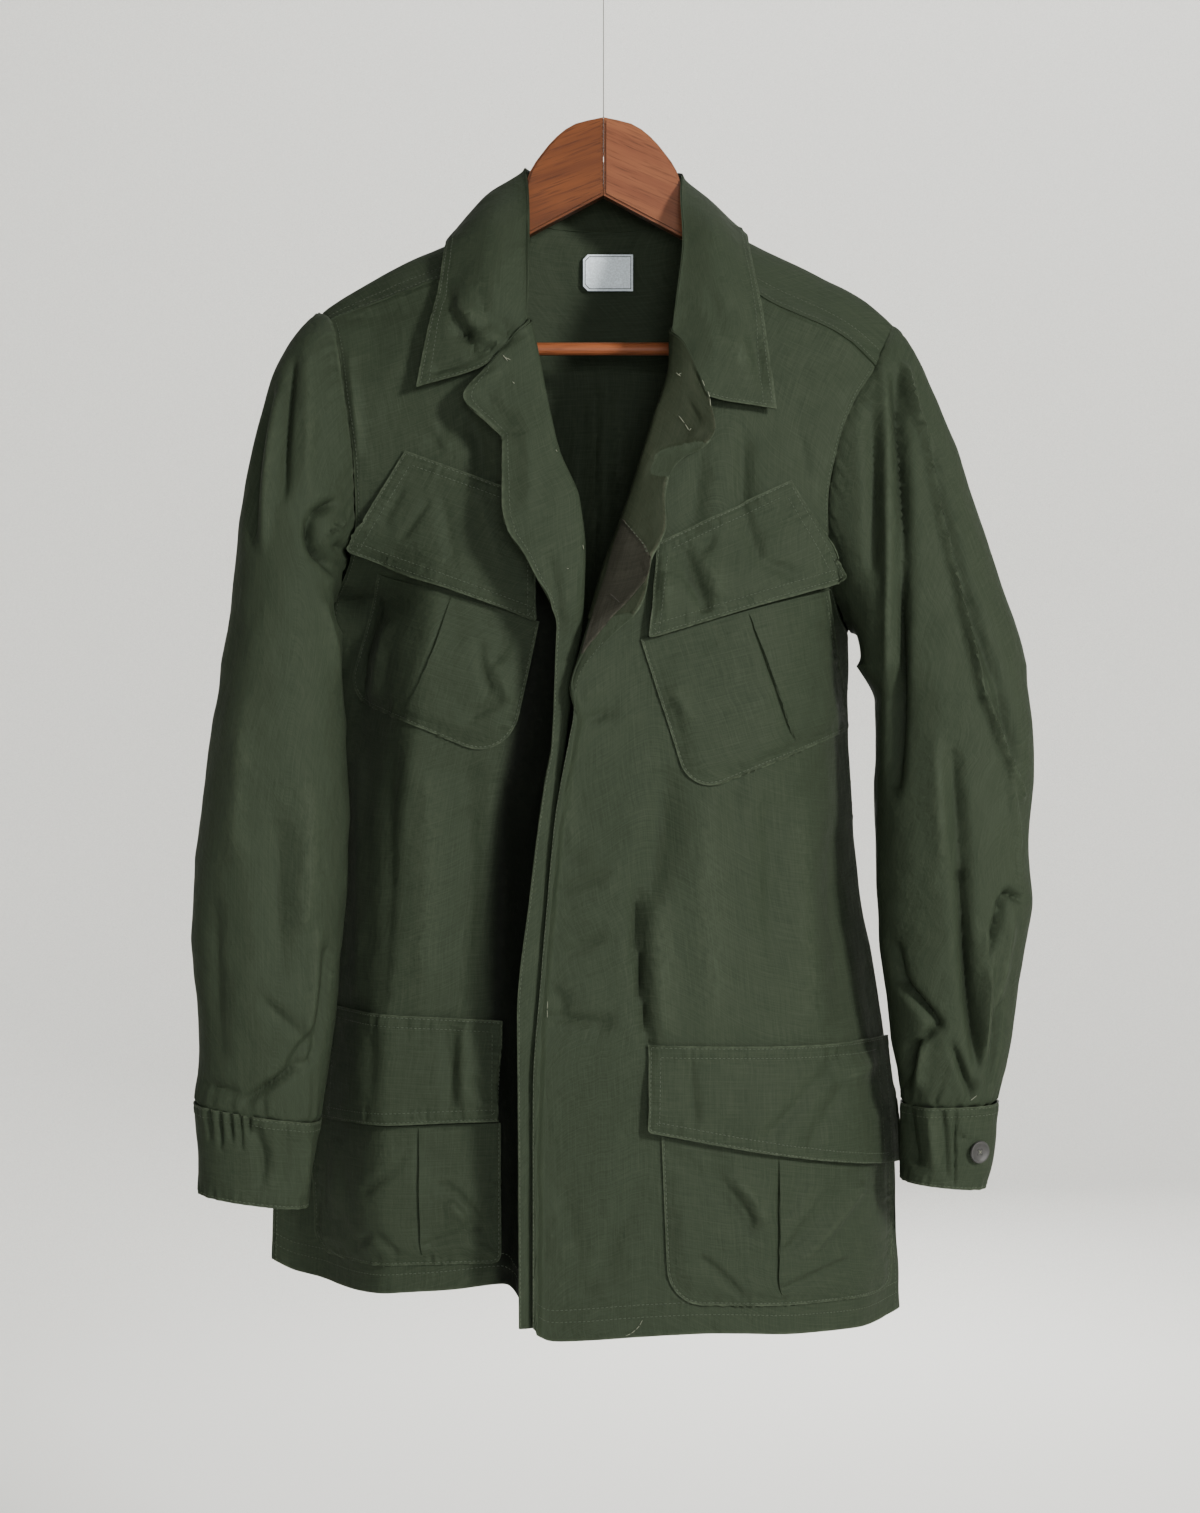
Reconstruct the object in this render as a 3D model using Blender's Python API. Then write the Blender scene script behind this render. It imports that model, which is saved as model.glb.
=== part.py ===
"""A cotton jungle jacket, hung open on a two-part wooden hanger.

Metres. The origin is the top of the hanger's head, where its thread pulls. +Z is up, the jacket's front
faces -Y, and the wearer's left is at +X. "down" is a distance below the origin. Each cloth panel is a
surface worked out from short tables, given a wall of even thickness.
"""

import math

import bmesh
import bpy
import numpy as np
from mathutils.bvhtree import BVHTree

CLOTH = 0.0012  # wall of one layer of cloth
FACING_THICK = 0.001
CLEAR = 0.0005  # air between pieces that lie on each other
SEAM = 0.0002  # how far a panel's edge stops short of its seam line
ARMHOLE_SEAM = 0.0009  # the same at an armhole, where the panels meet at a sharp angle
COLLAR_SHORT = 0.0008  # the same at the collar's two ends
SHOULDER_LEAN = (0, -0.88, 0.475)  # the way both walls face at the forward shoulder seam
YOKE_LEAN = (0, 0.9, 0.436)  # the same at the seam between yoke and back
HANGER_THICK = 0.014
HANGER_BEVEL = 0.0018
# x and down along the hanger's rounded head
HEAD = ((0, 0), (0.02, 0.0046), (0.0335, 0.0138), (0.044, 0.0258), (0.0525, 0.0385), (0.0562, 0.0515),
        (0.0575, 0.0625))
ARM_SLOPE = 0.53
ARM_TOP_DOWN = 0.042
ARM_FOOT_DOWN = 0.056
ARM_END = 0.195
JOINT = 0.0002  # half the gap between the hanger's halves
BAR_END = 0.168
BAR_DOWN = 0.1656
BAR_RADIUS = 0.0047
THREAD_RADIUS = 0.0005
THREAD_TOP = 0.092
LOOP_RADIUS = 0.006
BUTTON_RADIUS = 0.008
BUTTON_THICK = 0.0026
SHANK = 0.0022
LABEL = (-0.0151, 0.0219, 0.0886, 0.1149)  # x at the left and right, down at the top and bottom
LABEL_THICK = 0.0006
LABEL_PROUD = CLOTH + 0.0016  # from the yoke's outside to the label's face
YOKE_INSIDE, YOKE_INSIDE_DOWN, YOKE_INSIDE_SLOPE = 0.0455, 0.072, 0.145  # y at a depth, and how it grows

OLIVE = (0.045, 0.060, 0.035, 1)
FACING = (0.060, 0.055, 0.035, 1)
WOOD = (0.28, 0.075, 0.03, 1)
HORN = (0.035, 0.03, 0.025, 1)
WHITE = (0.75, 0.76, 0.76, 1)
THREAD = (0.05, 0.04, 0.03, 1)

# Shares of a front's width, from the armhole or side seam to the front edge: where its key lines run.
FRONT_KEYS = (0.0, 0.16, 0.38, 0.6, 0.76, 0.82, 0.88, 1.0)
SHOULDER_TO = 0.6  # share of a front's width where its shoulder seam ends at the neck
ROLL_AT = 0.82  # share of a front's width where it rolls outward
SEWN_TO = 0.79  # share of a front's width as far as which pockets can lie on it
CHEST_AT, FLANK_AT = 0.55, 0.2  # how far in from the side toward the valley the chest and flank lines run
UNDER_ROLL = 0.007  # how far the front passes behind its own roll
FRONT_SHARES = (0, 0.05, 0.1, 0.16, 0.24, 0.33, 0.42, 0.51, 0.6, 0.66, 0.72, 0.76, 0.79, 0.82, 0.85, 0.88,
                0.94, 1.0)
FRONT_ROWS = 22
FACING_FROM = 0.72  # share of a front's width where its facing starts
TURNS = 22  # points round a sleeve
PLEAT_DEPTH = 0.0016
PATCH_ROWS = (0, 0.18, 0.36, 0.54, 0.7, 0.82, 0.91, 0.975, 1)  # shares of a pocket's height
UNDERARM_BULGE = 0.0185  # how far a sleeve swells outward just below its armhole, behind
UNDERARM_AT = 0.64  # where that is round the sleeve
UNDERARM_WIDE = 0.144  # and how much of the way round it takes

RIGHT = dict(
    sign=-1,
    # around, x, y, z: from the shoulder's ridge forward, under the arm and up the back
    armhole=[(0, -0.2027, 0, -0.139), (0.06, -0.1938, -0.022, -0.148), (0.14, -0.1868, -0.035, -0.173),
             (0.21, -0.182, -0.043, -0.205), (0.29, -0.1755, -0.047, -0.251), (0.36, -0.1745, -0.043, -0.29),
             (0.42, -0.18, -0.03, -0.32), (0.5, -0.195, 0.01, -0.345), (0.58, -0.196, 0.04, -0.322),
             (0.68, -0.193, 0.058, -0.27), (0.8, -0.196, 0.055, -0.205), (0.9, -0.201, 0.036, -0.16)],
    seam_around=0.06,  # where the forward shoulder seam meets the armhole
    # down, x, y
    side=[(0.345, -0.195, 0.01), (0.42, -0.208, 0.02), (0.5, -0.222, 0.028), (0.6, -0.233, 0.032),
          (0.72, -0.24, 0.032), (0.87, -0.2445, 0.03)],
    flank_share=0.22,
    # down, y
    chest=[(0.1, -0.028), (0.124, -0.032), (0.15, -0.04), (0.18, -0.046), (0.22, -0.05), (0.28, -0.053),
           (0.36, -0.054), (0.5, -0.052), (0.87, -0.05)],
    valley=[(0.106, -0.0675, -0.036), (0.13, -0.068, -0.046), (0.16, -0.072, -0.052),
            (0.21, -0.074, -0.056), (0.27, -0.066, -0.058), (0.346, -0.048, -0.057), (0.42, -0.054, -0.055),
            (0.49, -0.067, -0.053), (0.56, -0.0723, -0.052), (0.64, -0.0744, -0.052),
            (0.87, -0.069, -0.052)],
    roll=[(0.1535, -0.0525, -0.058), (0.2, -0.043, -0.068), (0.2487, -0.032, -0.078),
          (0.283, -0.0185, -0.083), (0.3139, -0.0148, -0.086), (0.338, -0.0152, -0.087),
          (0.3654, -0.0165, -0.085), (0.3997, -0.0225, -0.082), (0.434, -0.0265, -0.082),
          (0.502, -0.0347, -0.084), (0.61, -0.044, -0.086), (0.692, -0.0495, -0.086), (0.87, -0.05, -0.086)],
    edge=[(0.1915, -0.0835, -0.07), (0.21, -0.0973, -0.072), (0.231, -0.0786, -0.078),
          (0.24, -0.0704, -0.081), (0.2865, -0.07, -0.092), (0.3036, -0.0663, -0.095),
          (0.3221, -0.054, -0.097), (0.338, -0.0457, -0.097), (0.353, -0.0368, -0.097),
          (0.3688, -0.032, -0.092), (0.3997, -0.0335, -0.088), (0.4511, -0.036, -0.087),
          (0.475, -0.0405, -0.089), (0.556, -0.051, -0.091), (0.6377, -0.0594, -0.091),
          (0.692, -0.059, -0.091), (0.87, -0.058, -0.091)],
    # share of the width, down
    top=[(0, 0.148), (0.16, 0.139), (0.38, 0.124), (0.6, 0.106), (0.76, 0.148), (0.82, 0.1535),
         (0.88, 0.164), (1, 0.1915)],
    hem=[(0, 0.8267), (0.1, 0.834), (0.25, 0.8367), (0.45, 0.8333), (0.6, 0.828), (0.76, 0.843),
         (0.82, 0.85), (1, 0.85)],
    # x, y, z of the yoke's ridge, from the armhole to the neck
    ridge=[(0, -0.2027, 0, -0.139), (0.15, -0.1825, 0, -0.1268), (0.42, -0.1465, 0, -0.106),
           (0.68, -0.1105, 0, -0.0905), (1, -0.068, 0.002, -0.068)],
    # down at the outer and inner edge, x outer, x inner, y front, y back
    sleeve=[(0.372, 0.372, -0.2592, -0.1835, -0.088, -0.008), (0.404, 0.404, -0.2658, -0.183, -0.088, -0.008),
            (0.447, 0.447, -0.2742, -0.1806, -0.09, -0.003), (0.501, 0.501, -0.282, -0.1785, -0.092, -0.004),
            (0.536, 0.537, -0.2862, -0.1792, -0.092, -0.005),
            (0.582, 0.584, -0.2876, -0.1827, -0.092, -0.006),
            (0.636, 0.64, -0.2841, -0.1877, -0.09, -0.008),
            (0.67, 0.68, -0.2827, -0.1933, -0.087, -0.012),
            (0.699, 0.712, -0.2855, -0.1982, -0.083, -0.018)],
    cuff=[(0.7, 0.713, -0.2865, -0.1975, -0.084, -0.017), (0.735, 0.744, -0.284, -0.203, -0.081, -0.022),
          (0.763, 0.7735, -0.2827, -0.2067, -0.078, -0.024)],
    cuff_button=0.62,
    cap=(1.8, 1.5),
    # x and down at each end of a fold on the sleeve's front, its half width and how far it stands out
    sleeve_folds=[(-0.187, 0.275, -0.184, 0.36, 0.011, -0.009), (-0.225, 0.17, -0.226, 0.29, 0.012, 0.003)],
)

LEFT = dict(
    sign=1,
    armhole=[(0, 0.2085, 0, -0.148), (0.06, 0.201, -0.02, -0.166), (0.1, 0.1932, -0.028, -0.182),
             (0.17, 0.1784, -0.04, -0.2052), (0.24, 0.166, -0.046, -0.236), (0.32, 0.158, -0.047, -0.285),
             (0.4, 0.1605, -0.036, -0.331), (0.5, 0.178, 0.01, -0.369), (0.58, 0.183, 0.04, -0.345),
             (0.68, 0.183, 0.058, -0.29), (0.8, 0.19, 0.055, -0.218), (0.9, 0.202, 0.036, -0.17)],
    seam_around=0.1,
    side=[(0.369, 0.178, 0.01), (0.453, 0.1795, 0.016), (0.504, 0.182, 0.018), (0.561, 0.188, 0.02),
          (0.6415, 0.203, 0.022), (0.7034, 0.211, 0.022), (0.757, 0.2135, 0.022), (0.88, 0.216, 0.02)],
    flank_share=0.6,
    chest=[(0.115, -0.03), (0.145, -0.036), (0.18, -0.044), (0.22, -0.052), (0.28, -0.06), (0.36, -0.068),
           (0.45, -0.074), (0.6, -0.076), (0.88, -0.076)],
    valley=[(0.11, 0.069, -0.034), (0.135, 0.069, -0.044), (0.16, 0.072, -0.05), (0.21, 0.085, -0.056),
            (0.26, 0.08, -0.062), (0.32, 0.065, -0.07), (0.38, 0.045, -0.077), (0.44, 0.035, -0.082),
            (0.55, 0.03, -0.085), (0.7, 0.028, -0.086), (0.88, 0.028, -0.086)],
    roll=[(0.1605, 0.0479, -0.056), (0.1814, 0.0479, -0.06), (0.2248, 0.0358, -0.068),
          (0.2602, 0.0253, -0.073), (0.2919, 0.0148, -0.078), (0.3305, 0.0009, -0.083),
          (0.3549, -0.0059, -0.09), (0.3894, -0.0162, -0.096), (0.4134, -0.0222, -0.097),
          (0.434, -0.0175, -0.097), (0.4477, -0.02, -0.096), (0.5018, -0.0295, -0.094),
          (0.5614, -0.035, -0.094), (0.61, -0.039, -0.094), (0.6916, -0.0444, -0.094),
          (0.88, -0.0451, -0.094)],
    edge=[(0.2103, 0.0735, -0.068), (0.231, 0.0775, -0.071), (0.2448, 0.07, -0.073),
          (0.2531, 0.0549, -0.076), (0.2682, 0.0437, -0.08), (0.282, 0.0417, -0.083),
          (0.2993, 0.0424, -0.086), (0.3131, 0.0389, -0.089), (0.324, 0.0332, -0.091),
          (0.3494, 0.0284, -0.097), (0.3618, 0.0222, -0.1), (0.3735, 0.0092, -0.102),
          (0.3893, -0.0059, -0.103), (0.4017, -0.0155, -0.102), (0.414, -0.0189, -0.101),
          (0.434, -0.021, -0.099), (0.4477, -0.0237, -0.097), (0.5018, -0.0333, -0.095),
          (0.5614, -0.0388, -0.095), (0.61, -0.0429, -0.095), (0.6916, -0.0484, -0.095),
          (0.88, -0.0484, -0.095)],
    top=[(0, 0.182), (0.16, 0.162), (0.38, 0.1415), (0.6, 0.11), (0.76, 0.152), (0.82, 0.1605),
         (0.88, 0.17), (1, 0.2103)],
    hem=[(0, 0.86), (0.1, 0.862), (0.3, 0.859), (0.5, 0.8555), (0.6, 0.857), (0.72, 0.8602),
         (0.82, 0.8535), (1, 0.849)],
    ridge=[(0, 0.2085, 0, -0.148), (0.15, 0.187, 0, -0.131), (0.36, 0.16, 0, -0.116),
           (0.75, 0.102, 0, -0.088), (1, 0.069, 0.002, -0.069)],
    sleeve=[(0.395, 0.395, 0.2985, 0.179, -0.085, 0.02), (0.42, 0.42, 0.3005, 0.1925, -0.086, 0.018),
            (0.447, 0.447, 0.3026, 0.193, -0.086, 0.017), (0.489, 0.489, 0.3019, 0.1915, -0.086, 0.016),
            (0.52, 0.52, 0.2984, 0.1922, -0.085, 0.015), (0.559, 0.559, 0.3026, 0.1929, -0.083, 0.014),
            (0.582, 0.582, 0.2991, 0.1945, -0.081, 0.013), (0.621, 0.621, 0.2927, 0.199, -0.077, 0.012),
            (0.658, 0.658, 0.2878, 0.204, -0.073, 0.01), (0.68, 0.681, 0.2835, 0.208, -0.07, 0.008),
            (0.7, 0.702, 0.277, 0.2115, -0.066, 0.004)],
    cuff=[(0.7015, 0.7035, 0.2785, 0.2105, -0.067, 0.005), (0.735, 0.735, 0.276, 0.2105, -0.066, 0.002),
          (0.762, 0.757, 0.269, 0.2105, -0.064, -0.002)],
    cuff_button=0.17,
    cap=(1.0, 1.35),
    sleeve_folds=[(0.197, 0.2, 0.19, 0.375, 0.012, -0.014), (0.222, 0.19, 0.284, 0.44, 0.014, 0.005)],
)
SIDES = {"right": RIGHT, "left": LEFT}

# The back neck seam, from the right shoulder's ridge round to the left one: x, y, z.
NECK_BACK = [(-0.068, 0.002, -0.068), (-0.06, 0.028, -0.068), (-0.034, 0.041, -0.0705), (0, 0.0455, -0.072),
             (0.034, 0.041, -0.0705), (0.06, 0.028, -0.068), (0.069, 0.002, -0.069)]
BACK_DEPTH = [(0.169, 0.06), (0.3, 0.07), (0.5, 0.074), (0.7, 0.074), (0.87, 0.072)]  # down, y
BACK_TOP = [(0, 0.192), (0.2, 0.18), (0.5, 0.169), (0.8, 0.182), (1, 0.2)]  # share, down
BACK_HEM = [(0, 0.8267), (0.5, 0.838), (1, 0.86)]
BACK_FOLD, BACK_FOLDS = 0.006, 4.5  # depth of the back's hanging folds at the hem, and how many there are
CENTRE_CREASE, CENTRE_CREASE_WIDE = 0.004, 0.03  # the pressed crease down the middle of the back
YOKE_SHARE = 0.33  # share of the back's width that one shoulder of the yoke takes
YOKE_RIDGE, YOKE_BEHIND = 0.35, 0.6  # where a yoke column passes the shoulder's ridge and the neck's corner

# around the neck, then x, y, z of the fold, of the leaf's middle and of its outer edge
COLLAR = [
    (0, -0.053, -0.06, -0.1535, -0.084, -0.068, -0.1885, -0.1304, -0.062, -0.2021),
    (0.06, -0.052, -0.052, -0.12, -0.085, -0.064, -0.145, -0.1233, -0.056, -0.1627),
    (0.12, -0.052, -0.04, -0.09, -0.083, -0.05, -0.108, -0.1169, -0.046, -0.135),
    (0.19, -0.053, -0.022, -0.0585, -0.082, -0.028, -0.0735, -0.1124, -0.027, -0.0985),
    (0.27, -0.056, 0.004, -0.034, -0.084, 0.006, -0.053, -0.111, 0.007, -0.0848),
    (0.36, -0.05, 0.032, -0.032, -0.07, 0.042, -0.056, -0.087, 0.048, -0.093),
    (0.43, -0.026, 0.048, -0.0335, -0.034, 0.058, -0.062, -0.042, 0.06, -0.106),
    (0.5, 0, 0.053, -0.0345, 0, 0.062, -0.064, 0, 0.064, -0.109),
    (0.57, 0.026, 0.048, -0.0335, 0.034, 0.058, -0.062, 0.042, 0.06, -0.106),
    (0.64, 0.05, 0.032, -0.033, 0.07, 0.041, -0.057, 0.084, 0.048, -0.093),
    (0.73, 0.056, 0.004, -0.0385, 0.08, 0.006, -0.06, 0.1025, 0.007, -0.082),
    (0.81, 0.0545, -0.022, -0.062, 0.08, -0.029, -0.078, 0.1055, -0.031, -0.109),
    (0.88, 0.0555, -0.04, -0.095, 0.083, -0.05, -0.118, 0.1098, -0.045, -0.135),
    (0.94, 0.051, -0.052, -0.135, 0.08, -0.062, -0.158, 0.1142, -0.055, -0.168),
    (1, 0.0479, -0.058, -0.1605, 0.0724, -0.068, -0.209, 0.1205, -0.062, -0.2174),
]

# Flaps and pockets, as seen from the front: x and down of the four corners, clockwise from the top left,
# then the radius of the two lower corners, the least and greatest stand-off from the front, the pleat's share
# of the width at its top and bottom, and how far the two lower corners lift.
PATCHES = {
    "right_chest_pocket": dict(side="right", corners=((-0.16, 0.33), (-0.0444, 0.3651), (-0.0667, 0.465),
                                                      (-0.1854, 0.4147)), round=(0.018, 0.032),
                               off=(0.0022, 0.0034), pleat=(0.47, 0.42)),
    "right_chest_flap": dict(side="right", corners=((-0.1386, 0.245), (-0.0444, 0.28), (-0.0444, 0.3658),
                                                    (-0.1812, 0.3149)), round=(0.003, 0.003),
                             off=(0.0062, 0.0074), lift=(0.004, 0)),
    "left_chest_pocket": dict(side="left", corners=((0.0252, 0.3784), (0.158, 0.342), (0.1765, 0.4393),
                                                    (0.0598, 0.4856)), round=(0.024, 0.004),
                              off=(0.0022, 0.0034), pleat=(0.56, 0.62)),
    "left_chest_flap": dict(side="left", corners=((0.0369, 0.3113), (0.1304, 0.2663), (0.1705, 0.3348),
                                                  (0.0293, 0.3784)), round=(0.003, 0.003),
                            off=(0.0062, 0.0074), lift=(0, 0.013)),
    "right_lower_pocket": dict(side="right", corners=((-0.2125, 0.7205), (-0.0715, 0.7149), (-0.0715, 0.8129),
                                                      (-0.2083, 0.8171)), round=(0.018, 0.006),
                               off=(0.0037, 0.0042), pleat=(0.59, 0.59)),
    "right_lower_flap": dict(side="right", corners=((-0.202, 0.6372), (-0.0695, 0.6435), (-0.0695, 0.7128),
                                                    (-0.2041, 0.7184)), round=(0.003, 0.003),
                             off=(0.0087, 0.0095)),
    "left_lower_pocket": dict(side="left", corners=((0.0395, 0.7194), (0.2081, 0.7507), (0.2067, 0.8413),
                                                    (0.0443, 0.8343)), round=(0.024, 0.012),
                              off=(0.0022, 0.0034), pleat=(0.48, 0.46)),
    "left_lower_flap": dict(side="left", corners=((0.0312, 0.6568), (0.205, 0.6613), (0.209, 0.7515),
                                                  (0.0298, 0.716)), round=(0.003, 0.003),
                            off=(0.0062, 0.0074)),
}


def follow(keys, values, at):
    """Smooth curve without overshoot through values (keys, columns) or (keys, points, columns)."""
    keys = np.asarray(keys, float)
    values = np.asarray(values, float)
    at = np.clip(np.atleast_1d(at).astype(float), keys[0], keys[-1])
    if values.ndim == 2:
        values = np.repeat(values[:, None, :], len(at), axis=1)
    step = np.diff(keys)[:, None, None]
    slope = np.diff(values, axis=0) / step
    before, after = slope[:-1], slope[1:]
    wide, narrow = 2 * step[1:] + step[:-1], step[1:] + 2 * step[:-1]
    tangent = np.empty_like(values)
    tangent[0], tangent[-1] = slope[0], slope[-1]
    rising = before * after > 0
    safe_before, safe_after = np.where(rising, before, 1), np.where(rising, after, 1)
    tangent[1:-1] = np.where(rising, (wide + narrow) / (wide / safe_before + narrow / safe_after), 0)
    low = np.clip(np.searchsorted(keys, at, side="right") - 1, 0, len(keys) - 2)
    each = np.arange(len(at))
    length = (keys[low + 1] - keys[low])[:, None]
    t = (at - keys[low])[:, None] / length
    start, end = values[low, each], values[low + 1, each]
    leave, arrive = tangent[low, each] * length, tangent[low + 1, each] * length
    return ((1 + 2 * t) * (1 - t) ** 2 * start + t * (1 - t) ** 2 * leave
            + t * t * (3 - 2 * t) * end + t * t * (t - 1) * arrive)


def along(table, at):
    """The other columns of a table at the values `at` of its first one."""
    rows = np.asarray(table, float)
    return follow(rows[:, 0], rows[:, 1:], at)


def armhole(side, around):
    """Points of the closed armhole line."""
    rows = list(side["armhole"])
    before = [(row[0] - 1,) + row[1:] for row in rows[-3:]]
    after = [(row[0] + 1,) + row[1:] for row in rows[:3]]
    return along(before + rows + after, np.asarray(around, float) % 1)


def side_line(side, down, back=False):
    """x and y of a panel's outer line: the armhole's front or back half, then the side seam."""
    around = np.linspace(0.5, 1, 60) if back else np.linspace(side["seam_around"], 0.5, 60)
    hole = armhole(side, np.minimum(around, 0.99999))
    order = np.argsort(-hole[:, 2])
    seam = along(side["side"], down)
    under = side["side"][0][0]
    upper = np.stack([np.interp(down, -hole[order, 2], hole[order, axis]) for axis in (0, 1)], axis=1)
    return np.where((down < under)[:, None], upper, seam)


def front(name, share, down):
    """Points on a front's outside, `share` of its width from the side and `down` from the origin."""
    side = SIDES[name]
    outer, valley = side_line(side, down), along(side["valley"], down)
    roll, edge = along(side["roll"], down), along(side["edge"], down)
    chest_x = outer[:, 0] + (valley[:, 0] - outer[:, 0]) * CHEST_AT
    chest = np.stack([chest_x, along(side["chest"], down)[:, 0]], axis=1)
    flank = np.stack([outer[:, 0] + (valley[:, 0] - outer[:, 0]) * FLANK_AT,
                      outer[:, 1] + (chest[:, 1] - outer[:, 1]) * side["flank_share"]], axis=1)
    turned = np.abs(edge[:, 0] - roll[:, 0])
    aside = side["sign"] * np.clip(turned * 0.3, 0.004, UNDER_ROLL)
    under = roll + np.stack([aside, 0 * turned + UNDER_ROLL], axis=1)
    over = roll + (edge - roll) * np.array([0.3, 0.7])
    keys = np.stack([outer, flank, chest, valley, under, roll, over, edge])
    flat = follow(FRONT_KEYS, keys, share)
    return np.column_stack([flat, -down])


def front_grid(name, rows=FRONT_ROWS, shares=FRONT_SHARES):
    """A front's points, row by row from the shoulder seam and neck down to the hem."""
    side = SIDES[name]
    shares = np.asarray(shares, float)
    top, hem = along(side["top"], shares)[:, 0], along(side["hem"], shares)[:, 0]
    grid = [front(name, shares, top + (hem - top) * v) for v in np.linspace(0, 1, rows + 1) ** 1.12]
    return np.stack(grid)


def on_front(name, x, down):
    """Points on a front's outside at the given x and down; beyond its side they keep the nearest y."""
    grid = front_grid(name)[:, :FRONT_SHARES.index(SEWN_TO)]
    rows, columns = grid.shape[:2]
    corner = np.arange(rows * columns).reshape(rows, columns)
    a, b, c, d = corner[:-1, :-1], corner[1:, :-1], corner[1:, 1:], corner[:-1, 1:]
    faces = np.concatenate([np.stack([a, b, c], axis=-1).reshape(-1, 3),
                            np.stack([a, c, d], axis=-1).reshape(-1, 3)])
    cloth = BVHTree.FromPolygons(grid.reshape(-1, 3).tolist(), faces.tolist())
    points = []
    for each_x, each_down in zip(x.ravel(), down.ravel()):
        hit = cloth.ray_cast((each_x, -1, -each_down), (0, 1, 0))[0]
        if not hit:
            hit = cloth.find_nearest((each_x, -0.05, -each_down))[0]
        points.append((each_x, hit[1], -each_down))
    return np.array(points).reshape(x.shape + (3,))


def back_shares(shoulder=6, neck=6):
    """Shares of the back's width at the columns that the back and the yoke have in common."""
    third = np.linspace(0, YOKE_SHARE, shoulder + 1)
    return np.concatenate([third, np.linspace(YOKE_SHARE, 1 - YOKE_SHARE, neck + 1)[1:-1], 1 - third[::-1]])


def back_grid(rows=16):
    """The back's points, from the yoke seam to the hem, right side seam to left one."""
    shares = back_shares()
    top, hem = along(BACK_TOP, shares)[:, 0], along(BACK_HEM, shares)[:, 0]
    return np.stack([back(shares, top + (hem - top) * v) for v in np.linspace(0, 1, rows + 1)])


def back(share, down):
    """Points on the back's outside, with soft folds that deepen toward the hem."""
    right, left = side_line(RIGHT, down, True), side_line(LEFT, down, True)
    bulge = 1 - np.abs(2 * share - 1) ** 4
    edge_y = right[:, 1] + (left[:, 1] - right[:, 1]) * share
    fold = BACK_FOLD * np.clip((down - 0.2) / 0.5, 0, 1) * np.sin(share * BACK_FOLDS * 2 * math.pi) * bulge
    centre = -CENTRE_CREASE * np.exp(-((share - 0.5) / CENTRE_CREASE_WIDE) ** 2)
    centre = centre * np.clip((down - 0.15) / 0.1, 0, 1)
    y = edge_y + (along(BACK_DEPTH, down)[:, 0] - edge_y) * bulge + fold + centre
    return np.column_stack([right[:, 0] + (left[:, 0] - right[:, 0]) * share, y, -down])


def yoke_column(name, c, w):
    """Points down one column of a shoulder: c is 0 at the armhole and 1 at the neck, w runs front to back."""
    side = SIDES[name]
    share = SHOULDER_TO * c
    forward = front(name, np.array([share]), along(side["top"], share)[:, 0])[0]
    ridge = along(side["ridge"], c)[0]
    corner = np.array(NECK_BACK[1 if name == "right" else 5])
    hole = armhole(side, np.array([0.9, 0.82]))
    behind = hole[0] + (corner - hole[0]) * np.array([c, 1 - (1 - c) ** 1.6, c])
    behind[2] = min(behind[2], ridge[2] - 0.018) if c < 0.9 else behind[2]
    back_share = YOKE_SHARE * c if name == "right" else 1 - YOKE_SHARE * c
    seam = back(np.array([back_share]), along(BACK_TOP, back_share)[:, 0])[0]
    return follow((0, YOKE_RIDGE, YOKE_BEHIND, 1), np.stack([forward, ridge, behind, seam]), w)


def yoke_grid(shoulder=6, neck=6, front_rows=6, back_rows=4):
    """The yoke's points and the cells that are cloth: the neck's place is left out."""
    upper, lower = np.linspace(0, YOKE_BEHIND, front_rows + 1), np.linspace(YOKE_BEHIND, 1, back_rows + 1)
    w = np.concatenate([upper, lower[1:]])
    columns = [yoke_column("right", c, w) for c in np.linspace(0, 1, shoulder + 1)]
    for step in range(1, neck):
        part = step / neck
        edge = follow((0, 0.25, 0.5, 0.75, 1), np.array(NECK_BACK[1:6]), part)[0]
        share = YOKE_SHARE + (1 - 2 * YOKE_SHARE) * part
        seam = back(np.array([share]), along(BACK_TOP, share)[:, 0])[0]
        part_down = np.clip((w - YOKE_BEHIND) / (1 - YOKE_BEHIND), 0, 1)[:, None]
        bow = np.array([0, 0.004, 0]) * np.sin(part_down * math.pi)
        columns.append(edge + (seam - edge) * part_down + bow)
    columns += [yoke_column("left", c, w) for c in np.linspace(1, 0, shoulder + 1)]
    grid = np.stack(columns, axis=1)
    keep = np.ones((grid.shape[0] - 1, grid.shape[1] - 1), bool)
    keep[:front_rows, shoulder:shoulder + neck] = False
    return grid, keep


def neck_line():
    """Points of the neck seam, from the right gorge round the back to the left one."""
    halves = []
    for name, side in SIDES.items():
        shares = np.linspace(ROLL_AT, SHOULDER_TO, 7)
        forward = front(name, shares, along(side["top"], shares)[:, 0])
        halves.append(np.concatenate([forward, yoke_column(name, 1, np.linspace(0, YOKE_BEHIND, 7))[1:]]))
    return np.concatenate([halves[0], np.array(NECK_BACK[2:5]), halves[1][::-1]])


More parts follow.
